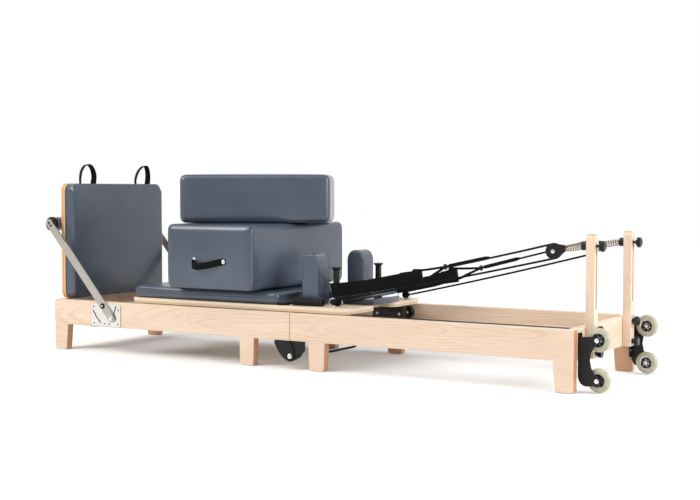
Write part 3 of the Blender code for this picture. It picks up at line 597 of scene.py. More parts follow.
def swell(obj, voxel, crown, hold):
    """Fills a closed cover with foam: an even remesh, then cloth under inner pressure. Points
    that hold names are glued to a board; the others rise outwards, by crown at the most."""
    remesh = obj.modifiers.new("even", "REMESH")
    remesh.mode = "VOXEL"
    remesh.voxel_size = voxel
    depsgraph = bpy.context.evaluated_depsgraph_get()
    mesh = bpy.data.meshes.new_from_object(obj.evaluated_get(depsgraph))
    obj.modifiers.clear()
    material = obj.data.materials[0]
    obj.data = mesh
    mesh.materials.clear()
    mesh.materials.append(material)
    mesh.shade_smooth()
    rest = read_points(mesh)
    glued = np.array([hold(Vector(co)) for co in rest])
    group = obj.vertex_groups.new(name="board")
    group.add([int(i) for i in np.flatnonzero(glued)], 1.0, "REPLACE")
    cloth = obj.modifiers.new("foam", "CLOTH")
    for setting, value in FOAM.items():
        setattr(cloth.settings, setting, value)
    cloth.settings.effector_weights.gravity = 0
    cloth.settings.vertex_group_mass = "board"
    cloth.collision_settings.use_collision = False
    cloth.point_cache.frame_start = 1
    cloth.point_cache.frame_end = FOAM_FRAMES
    for number in range(1, FOAM_FRAMES + 1):
        bpy.context.scene.frame_set(number)
    depsgraph = bpy.context.evaluated_depsgraph_get()
    blown = obj.evaluated_get(depsgraph)
    travel = read_points(blown.to_mesh()) - rest
    blown.to_mesh_clear()
    obj.modifiers.clear()
    bpy.context.scene.frame_set(1)
    normals = np.array([n.vector for n in mesh.vertex_normals])
    rise = evened(mesh, np.clip((travel * normals).sum(axis=1), 0, None), 40)
    rise[glued] = 0
    rise = evened(mesh, rise, 6) * crown / max(rise.max(), 1e-9)
    mesh.vertices.foreach_set("co", (rest + normals * rise[:, None]).ravel())
    mesh.update()
    relax = obj.modifiers.new("relax", "SMOOTH")
    relax.factor = 0.5
    relax.iterations = 2
    fine = obj.modifiers.new("fine", "SUBSURF")
    fine.levels = 1
    fine.render_levels = 1


def read_points(mesh):
    flat = np.empty(len(mesh.vertices) * 3)
    mesh.vertices.foreach_get("co", flat)
    return flat.reshape(-1, 3)


def evened(mesh, values, times):
    """Averages a value at each point with its neighbours' over and over."""
    ends = np.empty(len(mesh.edges) * 2, dtype=np.int32)
    mesh.edges.foreach_get("vertices", ends)
    first, second = ends.reshape(-1, 2).T
    count = len(mesh.vertices)
    degree = np.maximum(np.bincount(ends, minlength=count), 1)
    for _ in range(times):
        total = np.bincount(first, values[second], count)
        total += np.bincount(second, values[first], count)
        values = (values + total / degree) / 2
    return values


def padded(name, bm, body, node, voxel, crown, hold):
    """A leather cover filled with foam, standing for a CAD node."""
    obj = piece(name, bm, LEATHER, None)
    swell(obj, voxel, crown, hold)
    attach(obj, body)
    stands_for(obj, node)
    return obj


def seam(name, cover, points, body, radius, material=LEATHER_SEAM, closed=True):
    """A sewn line: a fine cord laid on the cover's finished surface, near the points."""
    points = [Vector(p) + Vector((SHIFT, 0, 0)) for p in points]
    ends = points[1:] + points[:1] if closed else points[1:]
    dense = []
    for here, after in zip(points, ends):
        steps = max(1, round((after - here).length / 0.010))
        dense += [here.lerp(after, i / steps) for i in range(steps)]
    if not closed:
        dense.append(points[-1])
    finished = cover.evaluated_get(bpy.context.evaluated_depsgraph_get())
    laid = [finished.closest_point_on_mesh(p)[1:3] for p in dense]
    laid = [place + normal * radius * 0.3 for place, normal in laid]
    curve = bpy.data.curves.new(name, "CURVE")
    curve.dimensions = "3D"
    curve.bevel_depth = radius
    curve.bevel_resolution = 1
    curve.use_fill_caps = True
    spline = curve.splines.new("POLY")
    spline.points.add(len(laid) - 1)
    for point, co in zip(spline.points, laid):
        point.co = (*co, 1.0)
    spline.use_cyclic_u = closed
    curve.materials.append(material)
    obj = bpy.data.objects.new(name, curve)
    bpy.context.collection.objects.link(obj)
    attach(obj, body)


def sitting_box():
    low, high = (-0.5550, -0.3470, 0.2938), (-0.1255, 0.3470, 0.5570)
    cover = padded("sitting_box_cover", rounded_box(low, high, 0.022, 4), "sitting_box",
                   "sitting_box", 0.009, 0.005, lambda p: p.z < 0.302 or p.z > 0.550)
    for side, sign in SIDES.items():
        loop = rounded_rectangle(low[0], high[0], low[2], high[2], 0.022)
        seam(f"box_seam_{side}", cover, [(u, sign * 0.3320, v) for u, v in loop], "sitting_box",
             0.0013, THREAD)
        box_handle(side, sign)


def box_handle(side, sign):
    """A short webbing pull held by two studs, hanging a little open."""
    left, right = Vector((-0.4036, 0, 0.4138)), Vector((-0.2570, 0, 0.4090))
    path = [(left.x - 0.006, 0.003, left.z + 0.006), (left.x - 0.004, 0.006, left.z - 0.006),
            (left.x + 0.002, 0.020, left.z - 0.019), (left.x + 0.028, 0.026, left.z - 0.026),
            (left.x + 0.066, 0.024, left.z - 0.022), (left.x + 0.104, 0.015, left.z - 0.013),
            (right.x - 0.010, 0.0045, right.z - 0.001), (right.x + 0.012, 0.0035, right.z + 0.001)]
    points = smooth_path([(x, sign * (BOX_FACE + y), z) for x, y, z in path], 5)
    bm = sweep(points, band(0.0028, 0.027), lambda t: (0.55 * max(0.0, 1 - t * 5), 0, 1),
               lambda t: (1, min(1.0, 0.55 + 6 * min(t, 1 - t))))
    piece(f"box_pull_{side}", bm, WEBBING, "sitting_box")
    for end, at in (("left", left), ("right", right)):
        bolt(f"box_stud_{side}_{end}", OUTWARD[side], (at.x, sign * (BOX_FACE + 0.0050), at.z),
             0.0062, 0.0045, CHROME, "sitting_box")


def box_cushion():
    long, deep, low, high = 0.6240, 0.2990, 0.5578, 0.7590
    turn = Matrix.Translation((CUSHION_X, 0, 0)) @ Matrix.Rotation(CUSHION_TURN, 4, "Z")
    bm = rounded_box((-long / 2, -deep / 2, low), (long / 2, deep / 2, high), 0.022, 4)
    cover = padded("box_cushion_cover", placed(bm, turn), "box_cushion", "box_cushion", 0.008,
                   0.004, lambda p: p.z < 0.565)
    for name, sign in (("front", -1), ("back", 1)):
        loop = rounded_rectangle(-long / 2, long / 2, low, high, 0.022)
        points = [turn @ Vector((u, sign * (deep / 2 - 0.010), v)) for u, v in loop]
        seam(f"cushion_seam_{name}", cover, points, "box_cushion", 0.0009)


def jumpboard_pad():
    outline = rounded_rectangle(-0.2965, 0.2965, 0.2200, 0.7235, 0.030)
    bm = prism("YZ", outline, -1.1625, -1.1075, 0.016, 4)
    cover = padded("jumpboard_cover", bm, "jumpboard", "jumpboard_pad", 0.007, 0.004,
                   lambda p: p.x < -1.156 + SHIFT)
    seam("jumpboard_edge_seam", cover, [(-1.1580, u, v) for u, v in outline], "jumpboard",
         0.0011)


def carriage_pad():
    """Main pad with its narrower neck between the shoulder rests, over one board."""
    big, small = 0.045, 0.022
    foot = (PAD_FOOT + big, -PAD_HALF + big, big, 180, 270)
    shoulder = (PAD_SHOULDER - small, -PAD_HALF + small, small, 270)
    outline = arc(*foot, 6) + arc(*shoulder, 360, 4)
    outline += [(PAD_SHOULDER, -0.1145), (0.1075, -0.1145)]
    bm = prism("XY", mirrored(outline), 0.2420, 0.2915, 0.014, 4)
    cover = padded("carriage_cover", bm, "carriage", "carriage_pad", 0.0075, 0.0015,
                   lambda p: p.z < 0.2475)
    crease = mirrored(arc(*foot, 8) + arc(*shoulder, 350, 6) + [(PAD_SHOULDER, -0.120)])
    seam("carriage_cover_seam", cover, [(u, v, 0.2660) for u, v in crease], "carriage", 0.0010,
         closed=False)
    slope = [(0.109, 0.2422), (0.288, 0.2422), (0.288, 0.2668), (0.155, 0.2436), (0.109, 0.2436)]
    piece("headrest_wedge", prism("XZ", slope, -0.104, 0.104, 0.0012), LEATHER, "carriage")


def headrest():
    hinge = Matrix.Translation((0.130, 0, 0.2446)) @ Matrix.Rotation(math.radians(-11), 4, "Y")
    outline = rounded_rectangle(0.001, 0.1575, -0.109, 0.109, 0.022)
    bm = placed(prism("XY", outline, 0.0005, 0.0295, 0.010, 3), hinge)
    to_board = hinge.inverted()

    def on_board(p):
        return (to_board @ (p - Vector((SHIFT, 0, 0)))).z < 0.006

    padded("headrest_cover", bm, "headrest", "headrest", 0.0045, 0.002, on_board)


def shoulder_rests():
    x0, x1, radius = 0.0250, 0.1010, 0.0380
    middle = (x0 + x1) / 2
    top = (middle, 0.4445 - radius, radius, 0, 180)
    for side, sign in SIDES.items():
        body = f"shoulder_rest_{side}"
        outline = [(x0, 0.2424), (x1, 0.2424)] + arc(*top, 18)
        bm = prism("XZ", outline, *across(sign, 0.1285, 0.2175), 0.007, 3)
        cover = padded(f"shoulder_cover_{side}", bm, body, body, 0.0038, 0.0020,
                       lambda p: p.z < 0.248)
        for face, y in (("outer", 0.2115), ("inner", 0.1345)):
            arch = [(x1, 0.2440)] + arc(*top, 20) + [(x0, 0.2440)]
            seam(f"shoulder_seam_{side}_{face}", cover, [(u, sign * y, v) for u, v in arch],
                 body, 0.0009, closed=False)
        bm = bmesh.new()
        for y in (0.150, 0.196):
            add(bm, lathe([(0, 0.2232), (0.0049, 0.2232), (0.0049, 0.2436), (0, 0.2436)], 16,
                          "Z", (middle, sign * y, 0)))
        piece(f"shoulder_pegs_{side}", bm, CHROME, body)


def footbar():
    """Foam sleeve on the bar, with a seam along it and a black cap at each end."""
    half = 0.3160
    axis = Vector((BAR_AXIS[0], 0, BAR_AXIS[1]))
    turns = [math.radians(15 * i) for i in range(7)]
    profile = [(0, -half)]
    profile += [(0.0235 + 0.006 * math.sin(a), -half + 0.006 - 0.006 * math.cos(a))
                for a in turns]
    profile += [(0.0298, -half + 0.05), (0.0300, 0.0), (0.0298, half - 0.05)]
    profile += [(0.0235 + 0.006 * math.cos(a), half - 0.006 + 0.006 * math.sin(a))
                for a in turns]
    profile += [(0, half)]
    sleeve = turned("footbar_sleeve", profile, 40, "Y", axis, LEATHER, "footbar", smooth=60)
    stands_for(sleeve, "footbar_roll")
    seam("footbar_seam", sleeve, [axis + Vector((-0.0280, y, -0.0108))
                                  for y in (-half + 0.008, half - 0.008)], "footbar", 0.0009,
         closed=False)
    along = Vector((ARM_PIVOT[0], 0, ARM_PIVOT[1])) - axis
    along.normalize()
    for side, sign in SIDES.items():
        profile = [(0, 0.3145), (0.0300, 0.3145), (0.0312, 0.3155), (0.0312, 0.3255),
                   (0.0300, 0.3290), (0, 0.3290)]
        turned(f"footbar_cap_{side}", profile, 40, "Y", axis, PLASTIC, "footbar", sign)
        outward, face = OUTWARD[side], Vector((0, sign * ARM_FACE, 0))
        for number, reach in (("one", -0.006), ("two", 0.010)):
            bolt(f"footbar_screw_{side}_{number}", outward, axis + face + along * reach, 0.0042,
                 0.0016, SCREW, "footbar")
        lock = Vector((-0.9105, 0, 0.2010)) + face
        bolt(f"footbar_lock_{side}", outward, lock, 0.0085, 0.0035, PLASTIC, "footbar")
        bolt(f"footbar_lock_pin_{side}", outward, lock + Vector((-0.001, sign * 0.0019, 0.0012)),
             0.0042, 0.0020, CHROME, "footbar")
        eased(f"footbar_arm_{side}", 0.0007, ARM_STEEL, "footbar")
        eased(f"footbar_plate_{side}", 0.0005, PLATE_STEEL, "foot_frame")
        for number, (x, z) in enumerate(((-0.9690, 0.1975), (-0.9671, 0.1249), (-0.9061, 0.1253),
                                         (-0.8807, 0.1235), (-0.8336, 0.1259), (-0.8312, 0.1859))):
            bolt(f"footbar_plate_screw_{side}_{number}", outward, (x, sign * 0.32925, z), 0.0026,
                 0.0012, SCREW, "foot_frame")
        bolt(f"footbar_pivot_{side}", outward, (ARM_PIVOT[0], sign * 0.3411, ARM_PIVOT[1]),
             0.0060, 0.0022, CHROME, "foot_frame")
        # A dark sheet behind the plate's slots stands for the shade inside them.
        slab(f"footbar_plate_liner_{side}", (-0.979, -0.823), across(sign, 0.3252, 0.3256),
             (0.1165, 0.2065), 0.0002, 1, SLOT_SHADE, "foot_frame")


def jumpboard_loops():
    """Two loops of webbing, each a little twisted as soft webbing stands."""
    for side, sign in SIDES.items():
        y = sign * 0.183
        lean = 0.004 if side == "near" else 0.020
        path = [(-1.140, y - 0.038, 0.7150), (-1.140, y - 0.040, 0.7400),
                (-1.141, y - 0.034 + lean * 0.5, 0.7750), (-1.140, y - 0.016 + lean, 0.8010),
                (-1.138, y + 0.006 + lean, 0.8068), (-1.136, y + 0.028 + lean * 0.5, 0.7930),
                (-1.135, y + 0.042, 0.7620), (-1.136, y + 0.041, 0.7350),
                (-1.137, y + 0.038, 0.7150)]
        bm = sweep(smooth_path(path, 6), band(0.0030, 0.027), lambda t: (1, -0.70 + 1.10 * t, 0.10))
        loop = piece(f"jumpboard_pull_{side}", bm, WEBBING, "jumpboard")
        stands_for(loop, f"jumpboard_loop_{side}")


# ---------------------------------------------------------------- wood and hinges

def wooden_frame():
    for side, grain in (("near", MAPLE_X), ("far", MAPLE_X_FAR_SHADED)):
        eased(f"foot_side_{side}", 0.0028, grain, "foot_frame")
        eased(f"head_side_{side}", 0.0028, grain, "head_frame")
        eased(f"riser_{side}", 0.0022, MAPLE_Z, "head_frame")
    eased("foot_end_board", 0.0022, MAPLE_Y, "foot_frame")
    eased("head_end_board", 0.0022, MAPLE_Y, "head_frame")
    eased("spring_beam", 0.0025, MAPLE_Y, "foot_frame")
    eased("carriage_plate", 0.0015, PLY_PLATE, "carriage")
    eased("jumpboard_panel", 0.0016, PLY_PANEL, "jumpboard")


def hinges_and_tracks():
    """Leaves, flanges and bolt of the fold, and a grey steel lip along the inner edge of each
    ledge, inside the carriage wheels."""
    fold_x, fold_z = FOLD_AXIS
    for side, sign in SIDES.items():
        bolt(f"fold_bolt_{side}", OUTWARD[side], (fold_x, sign * 0.3245, fold_z), 0.0070, 0.0045,
             CHROME, "foot_frame")
        for half, flange, track in (
                ("foot", (fold_x - 0.0700, fold_x - 0.0015), (-1.160, fold_x - 0.0008)),
                ("head", (fold_x + 0.0015, fold_x + 0.0660), (fold_x + 0.0008, 1.160))):
            body = half + "_frame"
            eased(f"hinge_leaf_{half}_{side}", 0.0007, BLACK_STEEL, body)
            slab(f"hinge_flange_{half}_{side}", flange, across(sign, 0.296, 0.3202),
                 (0.1067, 0.1097), 0.0006, 1, BLACK_STEEL, body)
            slab(f"track_{half}_{side}", track, across(sign, 0.2553, 0.2577),
                 (0.1525, 0.1590), 0.0005, 1, TRACK, body)


def foot_end_details():
    """Metal strip on the corner, spring hooks under the beam, latch bar under the head half."""
    slab("corner_strip", (-1.2022, -1.2003), (-0.3240, -0.2980), (0.128, 0.208), 0.0006, 1,
         PLATE_STEEL, "foot_frame")
    for name, z in (("low", 0.140), ("high", 0.197)):
        bolt(f"corner_strip_screw_{name}", "-X", (-1.2022, -0.312, z), 0.0036, 0.0022,
             PLASTIC, "foot_frame")
    for number, y in SPRINGS.items():
        path = smooth_path([(-1.062, y, 0.170), (-1.080, y, 0.150), (-1.090, y, 0.112),
                            (-1.083, y, 0.098), (-1.070, y, 0.104)], 5)
        rod(f"spare_hook_{number}", path, 0.0028, 8, CHROME, "foot_frame", (0, 1, 0))
    path = smooth_path([(0.100, -0.200, 0.0980), (0.128, -0.200, 0.0640), (0.151, -0.200, 0.0623),
                        (0.205, -0.200, 0.0760), (0.256, -0.200, 0.0885),
                        (0.280, -0.200, 0.1060)], 6)
    rod("fold_latch_bar", path, 0.0045, 10, BLACK_STEEL, "head_frame", (0, 1, 0))


# ---------------------------------------------------------------- springs, ropes and straps

def carriage_springs():
    cap = [(0, -0.0028), (0.0065, -0.0028), (0.0078, 0.0), (0.0065, 0.0028), (0, 0.0028)]
    for number, y in SPRINGS.items():
        bm = helix((-1.014, y, SPRING_Z), (-0.660, y, SPRING_Z), 0.0088, 0.0014, 62, 5, 10)
        coil = piece(f"carriage_spring_{number}", bm, SPRING_STEEL, None)
        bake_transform(coil)
        stands_for(coil, f"spring_{number}")
        for end, body, x in (("beam", "foot_frame", -1.0170), ("block", "carriage", -0.6575)):
            turned(f"spring_cap_{end}_{number}", cap, 16, "X", (x, y, SPRING_Z), PLASTIC, body)


def ropes():
    """Each rope in three lengths, so that the runs can shorten as the carriage travels. Each
    run ends inside the strap or the clip, and meets it again at the carriage's far stop."""
    ends = {"near": ((0.6450, -0.165, 0.4095), (0.200, -0.235, 0.2700)),
            "far": ((0.6330, 0.165, 0.3895), (0.250, 0.222, 0.2560))}
    for side, sign in SIDES.items():
        turn = arc(*PULLEY, ROPE_TURN, 101.9, -77.6, 22)
        wrap = [Vector((u, sign * RISER_Y, v)) for u, v in turn]
        bend = rod(f"rope_bend_{side}", wrap, ROPE_R, 10, ROPE, "head_frame")
        stands_for(bend, f"rope_{side}")
        upper, lower = (Vector(p) for p in ends[side])
        for name, start, end, sag in (("upper", wrap[0], upper, 0.002),
                                      ("lower", wrap[-1], lower, 0.004)):
            path = [start.lerp(end, i / 24) - Vector((0, 0, 4 * sag * i / 24 * (1 - i / 24)))
                    for i in range(25)]
            run = rod(f"rope_{name}_{side}", path, ROPE_R, 10, ROPE, "head_frame")
            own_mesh(run)


def strap_middle(side, x):
    """Height of a hand strap's middle line at x."""
    places, heights = {"near": ((0.135, 0.30, 0.45, 0.54), (0.300, 0.322, 0.352, 0.372)),
                       "far": ((0.135, 0.28, 0.42, 0.52), (0.285, 0.297, 0.328, 0.362))}[side]
    return float(np.interp(x, places, heights))


def hand_straps():
    """A loop of wide webbing round each post, with a grip, thin leads to a keeper, and the
    sleeve that covers the end of the rope."""
    turn = 0.0185         # radius of the webbing's turn round the post
    shapes = {"near": (0.0255, 0.528, 0.4463, (0.629, 0.4080), (0.8106, 0.4476)),
              "far": (0.0235, 0.514, 0.455, (0.6204, 0.3860), (0.7886, 0.4288))}
    for side, sign in SIDES.items():
        y = sign * STRAP_Y
        half, end_x, grip_x, tip, away = shapes[side]
        tip, away = (Vector((u, y, v)) for u, v in (tip, away))
        pieces = []
        for face, name in ((-1, "outer"), (1, "inner")):
            path = [Vector((POST_X + turn * math.cos(a), y + face * turn * math.sin(a),
                            strap_middle(side, 0.135)))
                    for a in [math.radians(180 - 15 * k) for k in range(6)]]
            for t in (i / 14 for i in range(15)):
                x = 0.135 + (end_x - 0.135) * t
                if x > 0.160:
                    path.append(Vector((x, y + face * (turn - 0.0110 * t),
                                        strap_middle(side, x))))
            bm = sweep(path, band(0.0032, 2 * half), (-0.17, 0, 1))
            pieces.append(piece(f"strap_band_{side}_{name}", bm, WEBBING, "carriage"))
            for part, lift, reach in (("upper", half - 0.003, 0.004),
                                      ("lower", -half + 0.003, 0.010)):
                start = path[-1] + Vector((reach, 0, lift))
                lead = [path[-1] + Vector((-0.030, 0, lift * 0.98)), start,
                        start.lerp(tip, 0.5) + Vector((0, face * 0.001, -0.001)),
                        tip + Vector((0.004, face * 0.0015, 0))]
                bm = sweep(smooth_path(lead, 5), band(0.0026, 0.0085))
                pieces.append(piece(f"strap_lead_{side}_{part}_{name}", bm, WEBBING, "carriage"))
        grip = Vector((grip_x, y, strap_middle(side, grip_x)))
        bm = rounded_box((grip_x, y - 0.0135, grip.z - half - 0.001),
                         (end_x + 0.006, y + 0.0135, grip.z + half + 0.003), 0.004, 3)
        lean = Matrix.Translation(grip) @ Matrix.Rotation(math.radians(-9), 4, "Y")
        bm = placed(bm, lean @ Matrix.Translation(-grip))
        pieces.append(piece(f"strap_grip_{side}", bm, WEBBING, "carriage"))
        ring = lathe([(0.0035, -0.004), (0.0105, -0.004), (0.0115, 0.0), (0.0105, 0.004),
                      (0.0035, 0.004)], 20, "X", (0, 0, 0))
        lean = Matrix.Translation(tip + Vector((0.004, 0, 0)))
        ring = placed(ring, lean @ Matrix.Rotation(math.radians(-12), 4, "Y"))
        pieces.append(piece(f"strap_keeper_{side}", ring, PLASTIC, "carriage"))
        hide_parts(f"hand_strap_{side}")
        start = tip + Vector((0.010, 0, 0.0015))
        path = smooth_path([start, start.lerp(away, 0.12), start.lerp(away, 0.5), away], 6)
        bm = sweep(path, circle(0.0072, 12), (0, 0, 1),
                   lambda t: (0.62 if t < 0.22 or t > 0.97 else 1.0,) * 2)
        pieces.append(piece(f"rope_sleeve_{side}", bm, WEBBING, "carriage"))
        for made in pieces:
            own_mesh(made)


def rope_hank():
    """Spare rope wound round a core of itself, with a tail."""
    radius, coil, turns, per_turn, half = 0.0040, 0.0118, 15, 16, 0.066
    lay = Matrix.Translation((0.076, -0.250, 0.2578)) @ Matrix.Rotation(math.radians(7), 4, "Z")
    path = []
    for i in range(turns * per_turn + 1):
        t = i / (turns * per_turn)
        a = 2 * math.pi * turns * t
        path.append(lay @ Vector((-half + 2 * half * t, coil * math.cos(a), coil * math.sin(a))))
    winding = rod("hank_winding", path, radius, 8, HANK, "carriage",
                  lay.to_3x3() @ Vector((1, 0, 0)), 60)
    stands_for(winding, "rope_hank")
    core = lathe([(0, -0.070), (0.0085, -0.068), (0.0095, -0.055), (0.0095, 0.055),
                  (0.0085, 0.068), (0, 0.070)], 16, "X", (0, 0, 0))
    piece("hank_core", placed(core, lay), ROPE, "carriage", 60)
    tail = [(-0.064, 0.002, -0.006), (-0.085, -0.004, -0.0115), (-0.112, -0.012, -0.0123),
            (-0.128, -0.010, -0.0123)]
    rod("hank_tail", smooth_path([lay @ Vector(p) for p in tail], 5), radius, 8, ROPE,
        "carriage", smooth=60)


def cleats():
    """Where each rope is clipped to the carriage: a plate, two rings and a knot."""
    for side, (x, y) in {"near": (0.190, -0.225), "far": (0.250, 0.222)}.items():
        slab(f"cleat_foot_{side}", (x - 0.020, x + 0.020), (y - 0.011, y + 0.011),
             (0.2418, 0.2450), 0.001, 1, CHROME, "carriage")
        for number, (dx, lean) in enumerate(((-0.014, 20), (0.018, -25))):
            turn = Matrix.Rotation(math.radians(lean), 3, "Z")
            ring = [turn @ Vector((u, 0, v)) + Vector((x + dx, y, 0.2440))
                    for u, v in arc(0, 0.0150, 0.0150, 0, 360, 24)]
            rod(f"cleat_ring_{side}_{number}", ring, 0.0015, 8, CHROME, "carriage", (0, 1, 0), 60)
        bm = bmesh.new()
        bmesh.ops.create_uvsphere(bm, u_segments=20, v_segments=12, radius=0.0145)
        for v in bm.verts:
            v.co = Vector((v.co.x * 1.15, v.co.y * 0.9, v.co.z))
            v.co *= 1 + 0.06 * math.sin(11 * math.atan2(v.co.z, v.co.x) + 60 * v.co.y)
        placed(bm, Matrix.Translation((x + 0.004, y, 0.2595)))
        piece(f"cleat_knot_{side}", bm, ROPE, "carriage", 60)


# ---------------------------------------------------------------- head end fittings

def star_knob(name, at, radius, depth, body, count=3):
    """Lobed hand knob on the +X side of at, with a hub in its middle."""
    outline = []
    for i in range(60):
        a = 2 * math.pi * i / 60
        reach = radius * (0.84 + 0.16 * math.cos(count * a))
        outline.append((at[1] + reach * math.cos(a), at[2] + reach * math.sin(a)))
    bm = prism("YZ", outline, at[0] + depth * 0.30, at[0] + depth, depth * 0.16, 3)
    knob = piece(name, bm, PLASTIC, body, 40)
    turned(name + "_hub", [(0, 0), (radius * 0.45, 0), (radius * 0.52, depth * 0.35),
                           (0, depth * 0.35)], 24, "X", at, PLASTIC, body)
    return knob


def risers():
    for side, sign in SIDES.items():
        y = sign * RISER_Y
        knob = star_knob(f"rope_knob_{side}", (1.2424, y, BOLT_Z), 0.0205, 0.0196,
                         f"pulley_knob_{side}")
        stands_for(knob, f"pulley_knob_{side}")
        for number, z in enumerate((0.2060, 0.1300)):
            star_knob(f"riser_knob_{side}_{number}", (1.2324, y, z), 0.0180, 0.0240,
                      "head_frame", 5)
        repaint(f"pulley_anchor_{side}", PLASTIC)
        turned(f"anchor_washer_{side}",
               [(0.0052, 0.0), (0.0160, 0.0), (0.0165, -0.003), (0.0140, -0.0055),
                (0.0052, -0.0055)], 28, "X", (1.1862, y, BOLT_Z), PLASTIC, "head_frame")


def pulleys():
    x, z = PULLEY
    axle = [(0, 0), (0.0075, 0), (0.0082, 0.0008), (0.0075, 0.0020), (0.0040, 0.0026),
            (0, 0.0026)]
    rivet = [(0, 0), (0.0022, 0), (0.0018, 0.0010), (0, 0.0010)]
    for side, sign in SIDES.items():
        y = sign * RISER_Y
        eased(f"pulley_block_{side}", 0.0006, PLASTIC, "head_frame")
        repaint(f"pulley_sheave_{side}", PLASTIC)
        for name, face in FACES.items():
            at, end = (x, y + face * CHEEK, z), f"{side}_{name}"
            turned(f"pulley_axle_{end}", axle, 20, "Y", at, CHROME, "head_frame", face)
            for ring, inner, outer in (("rim", 0.0243, 0.0280), ("hub", 0.0090, 0.0124)):
                middle, lip = (inner + outer) / 2, 0.0012
                turned(f"pulley_{ring}_{end}",
                       [(inner, 0), (inner + 0.0006, lip * 0.8), (middle, lip),
                        (outer - 0.0006, lip * 0.8), (outer, 0)], 36, "Y", at, PLASTIC,
                       "head_frame", face)
            for number, (u, v) in enumerate(arc(x, z, 0.0205, 20, 308, 4)):
                turned(f"pulley_rivet_{end}_{number}", rivet, 10, "Y", (u, at[1], v), PLASTIC,
                       "head_frame", face)
        start = Vector((x + 0.0440, y, z + 0.0105))
        coil = helix(start, (1.1855, y, 0.4995), 0.0116, 0.0019, 7.5, 8, 16)
        coil = piece(f"pulley_coil_{side}", coil, BRASS, "head_frame", 60)
        stands_for(coil, f"pulley_spring_{side}")
        link = [start, Vector((1.13, y, 0.4915)), Vector((1.1858, y, 0.4995))]
        rod(f"pulley_link_{side}", link, 0.0013, 8, CHROME, "head_frame")


def transport_wheels():
    """Inline-skate wheels: urethane tyre, spoked hub and a bearing on each side."""
    tread = [(0.0235, -0.0118), (0.0300, -0.0120)] + arc(0.030, 0, 0.012, -75, 75, 10)
    tread += [(0.0300, 0.0120), (0.0235, 0.0118)]
    rim = [(0.0215, -0.0105), (0.0238, -0.0112), (0.0238, 0.0112), (0.0215, 0.0105)]
    web = [(0.0120, -0.0075), (0.0216, -0.0075), (0.0216, 0.0075), (0.0120, 0.0075)]
    race = [(0.0046, 0.0085), (0.0112, 0.0085), (0.0116, 0.0110), (0.0104, 0.0114),
            (0.0098, 0.0104), (0.0064, 0.0104), (0.0060, 0.0114), (0.0046, 0.0114)]
    seal = [(0.0066, 0.0104), (0.0097, 0.0104), (0.0097, 0.0110), (0.0066, 0.0110)]
    for side, sign in SIDES.items():
        for place, z in WHEELS.items():
            at, end = (WHEEL_X, sign * WHEEL_Y, z), f"{place}_{side}"
            body = f"wheel_{end}"
            tyre = turned(f"tyre_{end}", tread, 48, "Y", at, TYRE, body, smooth=50)
            stands_for(tyre, body)
            turned(f"rim_{end}", rim, 40, "Y", at, CHROME, body)
            turned(f"hub_web_{end}", web, 32, "Y", at, RUBBER, body)
            spokes = bmesh.new()
            for number in range(6):
                turn = Matrix.Rotation(math.radians(60 * number + 15), 4, "Y")
                spoke = rounded_box((0.0105, -0.0098, -0.0026), (0.0222, 0.0098, 0.0026), 0.0008, 1)
                add(spokes, placed(spoke, Matrix.Translation(at) @ turn))
            piece(f"spokes_{end}", spokes, TRACK, body)
            for name, face in FACES.items():
                turned(f"bearing_{end}_{name}", race, 32, "Y", at, CHROME, body, face)
                turned(f"bearing_seal_{end}_{name}", seal, 32, "Y", at, RUBBER, body, face)
            bolt(f"wheel_nut_{end}", INWARD[side], (WHEEL_X, sign * (WHEEL_Y - 0.0124), z),
                 0.0044, 0.0035, CHROME, "head_frame")
            bolt(f"wheel_bolt_{end}", OUTWARD[side], (WHEEL_X, sign * 0.2861, z), 0.0056, 0.0036,
                 CHROME, "head_frame")
        eased(f"wheel_bracket_{side}", 0.0006, BLACK_STEEL, "head_frame")
        for z in (0.190, 0.085):
            bolt(f"bracket_screw_{side}_{int(z * 1000)}", "+X", (1.2034, sign * 0.266, z),
                 0.0040, 0.0024, CHROME, "head_frame")


def carriage_parts():
    profile = [(0.0044, -0.0098), (0.0120, -0.0098), (0.0130, -0.0070), (0.0190, -0.0070),
               (0.0205, -0.0096), (0.0235, -0.0096), (0.0250, -0.0078)]
    profile += [(radius, -height) for radius, height in reversed(profile)]
    for side, sign in SIDES.items():
        repaint(f"strap_post_{side}", PLASTIC)
        for end, x in ROLLERS.items():
            node = f"carriage_wheel_{end}_{side}"
            wheel = turned(f"roller_{end}_{side}", profile, 40, "Y",
                           (x, sign * ROLLER_Y, ROLLER_Z), PLASTIC, node, smooth=40)
            stands_for(wheel, node)
            bolt(f"roller_bolt_{end}_{side}", INWARD[side], (x, sign * 0.2648, ROLLER_Z),
                 0.0042, 0.0028, CHROME, "carriage")
        slab(f"runner_cover_{side}", (0.100, 0.2425), across(sign, 0.2110, 0.2147),
             (0.1640, 0.2180), 0.0010, 2, DARK_PANEL, "carriage")
        slab(f"runner_end_{side}", (0.2427, 0.2450), across(sign, 0.2115, 0.2495),
             (0.1645, 0.2195), 0.0008, 1, DARK_PANEL, "carriage")
        for number, (x, z) in enumerate(((0.2283, 0.1785), (0.1231, 0.1781))):
            bolt(f"runner_bolt_{side}_{number}", INWARD[side], (x, sign * 0.2109, z), 0.0042,
                 0.0030, CHROME, "carriage")


# ---------------------------------------------------------------- floor and light

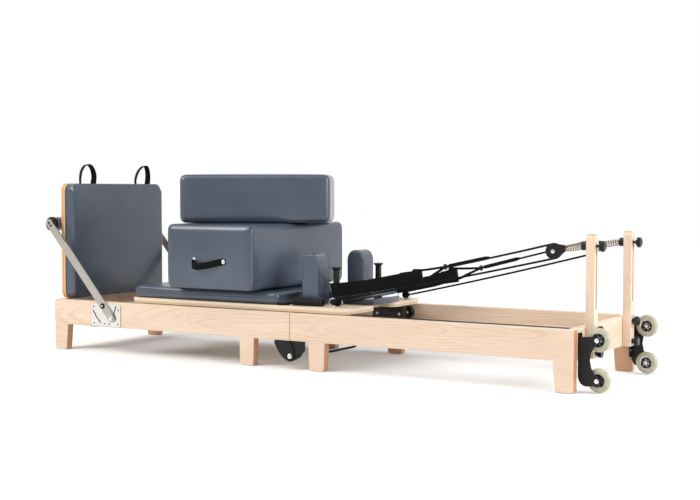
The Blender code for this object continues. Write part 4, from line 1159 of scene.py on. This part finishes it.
def studio():
    view = bpy.context.scene.view_settings
    view.view_transform = "Standard"
    view.look = "None"
    bm = bmesh.new()
    bmesh.ops.create_grid(bm, x_segments=1, y_segments=1, size=30)
    pale = Paint("pale_floor", (0.90, 0.90, 0.90), 0.85, Specular_IOR_Level=0.1)
    floor = piece("floor", bm, pale.material, None, shift=False)
    floor.location.z = -0.0006
    light_room()
    place_light("sky_panel", "SUN", (-1.2, -2.4, 3.4), 1.5, (1.0, 0.985, 0.965),
                angle=math.radians(50))
    place_light("key", "AREA", (-2.8, -3.2, 2.6), 62, (1.0, 0.99, 0.97), shape="SQUARE", size=1.6)
    place_light("side", "AREA", (4.2, -0.2, 1.7), 105, (0.97, 0.985, 1.0), shape="SQUARE", size=2.0)


def place_light(name, kind, place, energy, colour, **settings):
    data = bpy.data.lights.new(name, kind)
    for setting, value in dict(settings, energy=energy, color=colour).items():
        setattr(data, setting, value)
    light = bpy.data.objects.new(name, data)
    bpy.context.collection.objects.link(light)
    light.location = place
    aim = Vector((0, 0, 0.35)) - Vector(place)
    light.rotation_euler = aim.to_track_quat("-Z", "Y").to_euler()


def light_room():
    """A white wall behind the machine, with a dimmer room in front of it."""
    world = bpy.data.worlds.new("studio")
    world.use_nodes = True
    nodes, links = world.node_tree.nodes, world.node_tree.links
    coord = nodes.new("ShaderNodeTexCoord")
    parts = nodes.new("ShaderNodeSeparateXYZ")
    links.new(coord.outputs["Generated"], parts.inputs[0])
    depth = nodes.new("ShaderNodeMapRange")
    for key, value in (("From Min", -0.60), ("From Max", 0.30), ("To Min", 0.42), ("To Max", 1.0)):
        depth.inputs[key].default_value = value
    links.new(parts.outputs["Y"], depth.inputs["Value"])
    links.new(depth.outputs["Result"], nodes["Background"].inputs["Strength"])
    nodes["Background"].inputs["Color"].default_value = (1.0, 1.0, 1.0, 1.0)
    bpy.context.scene.world = world


wooden_frame()
hinges_and_tracks()
foot_end_details()
footbar()
jumpboard_pad()
jumpboard_loops()
carriage_pad()
headrest()
shoulder_rests()
sitting_box()
box_cushion()
carriage_parts()
carriage_springs()
ropes()
hand_straps()
rope_hank()
cleats()
risers()
pulleys()
transport_wheels()
studio()
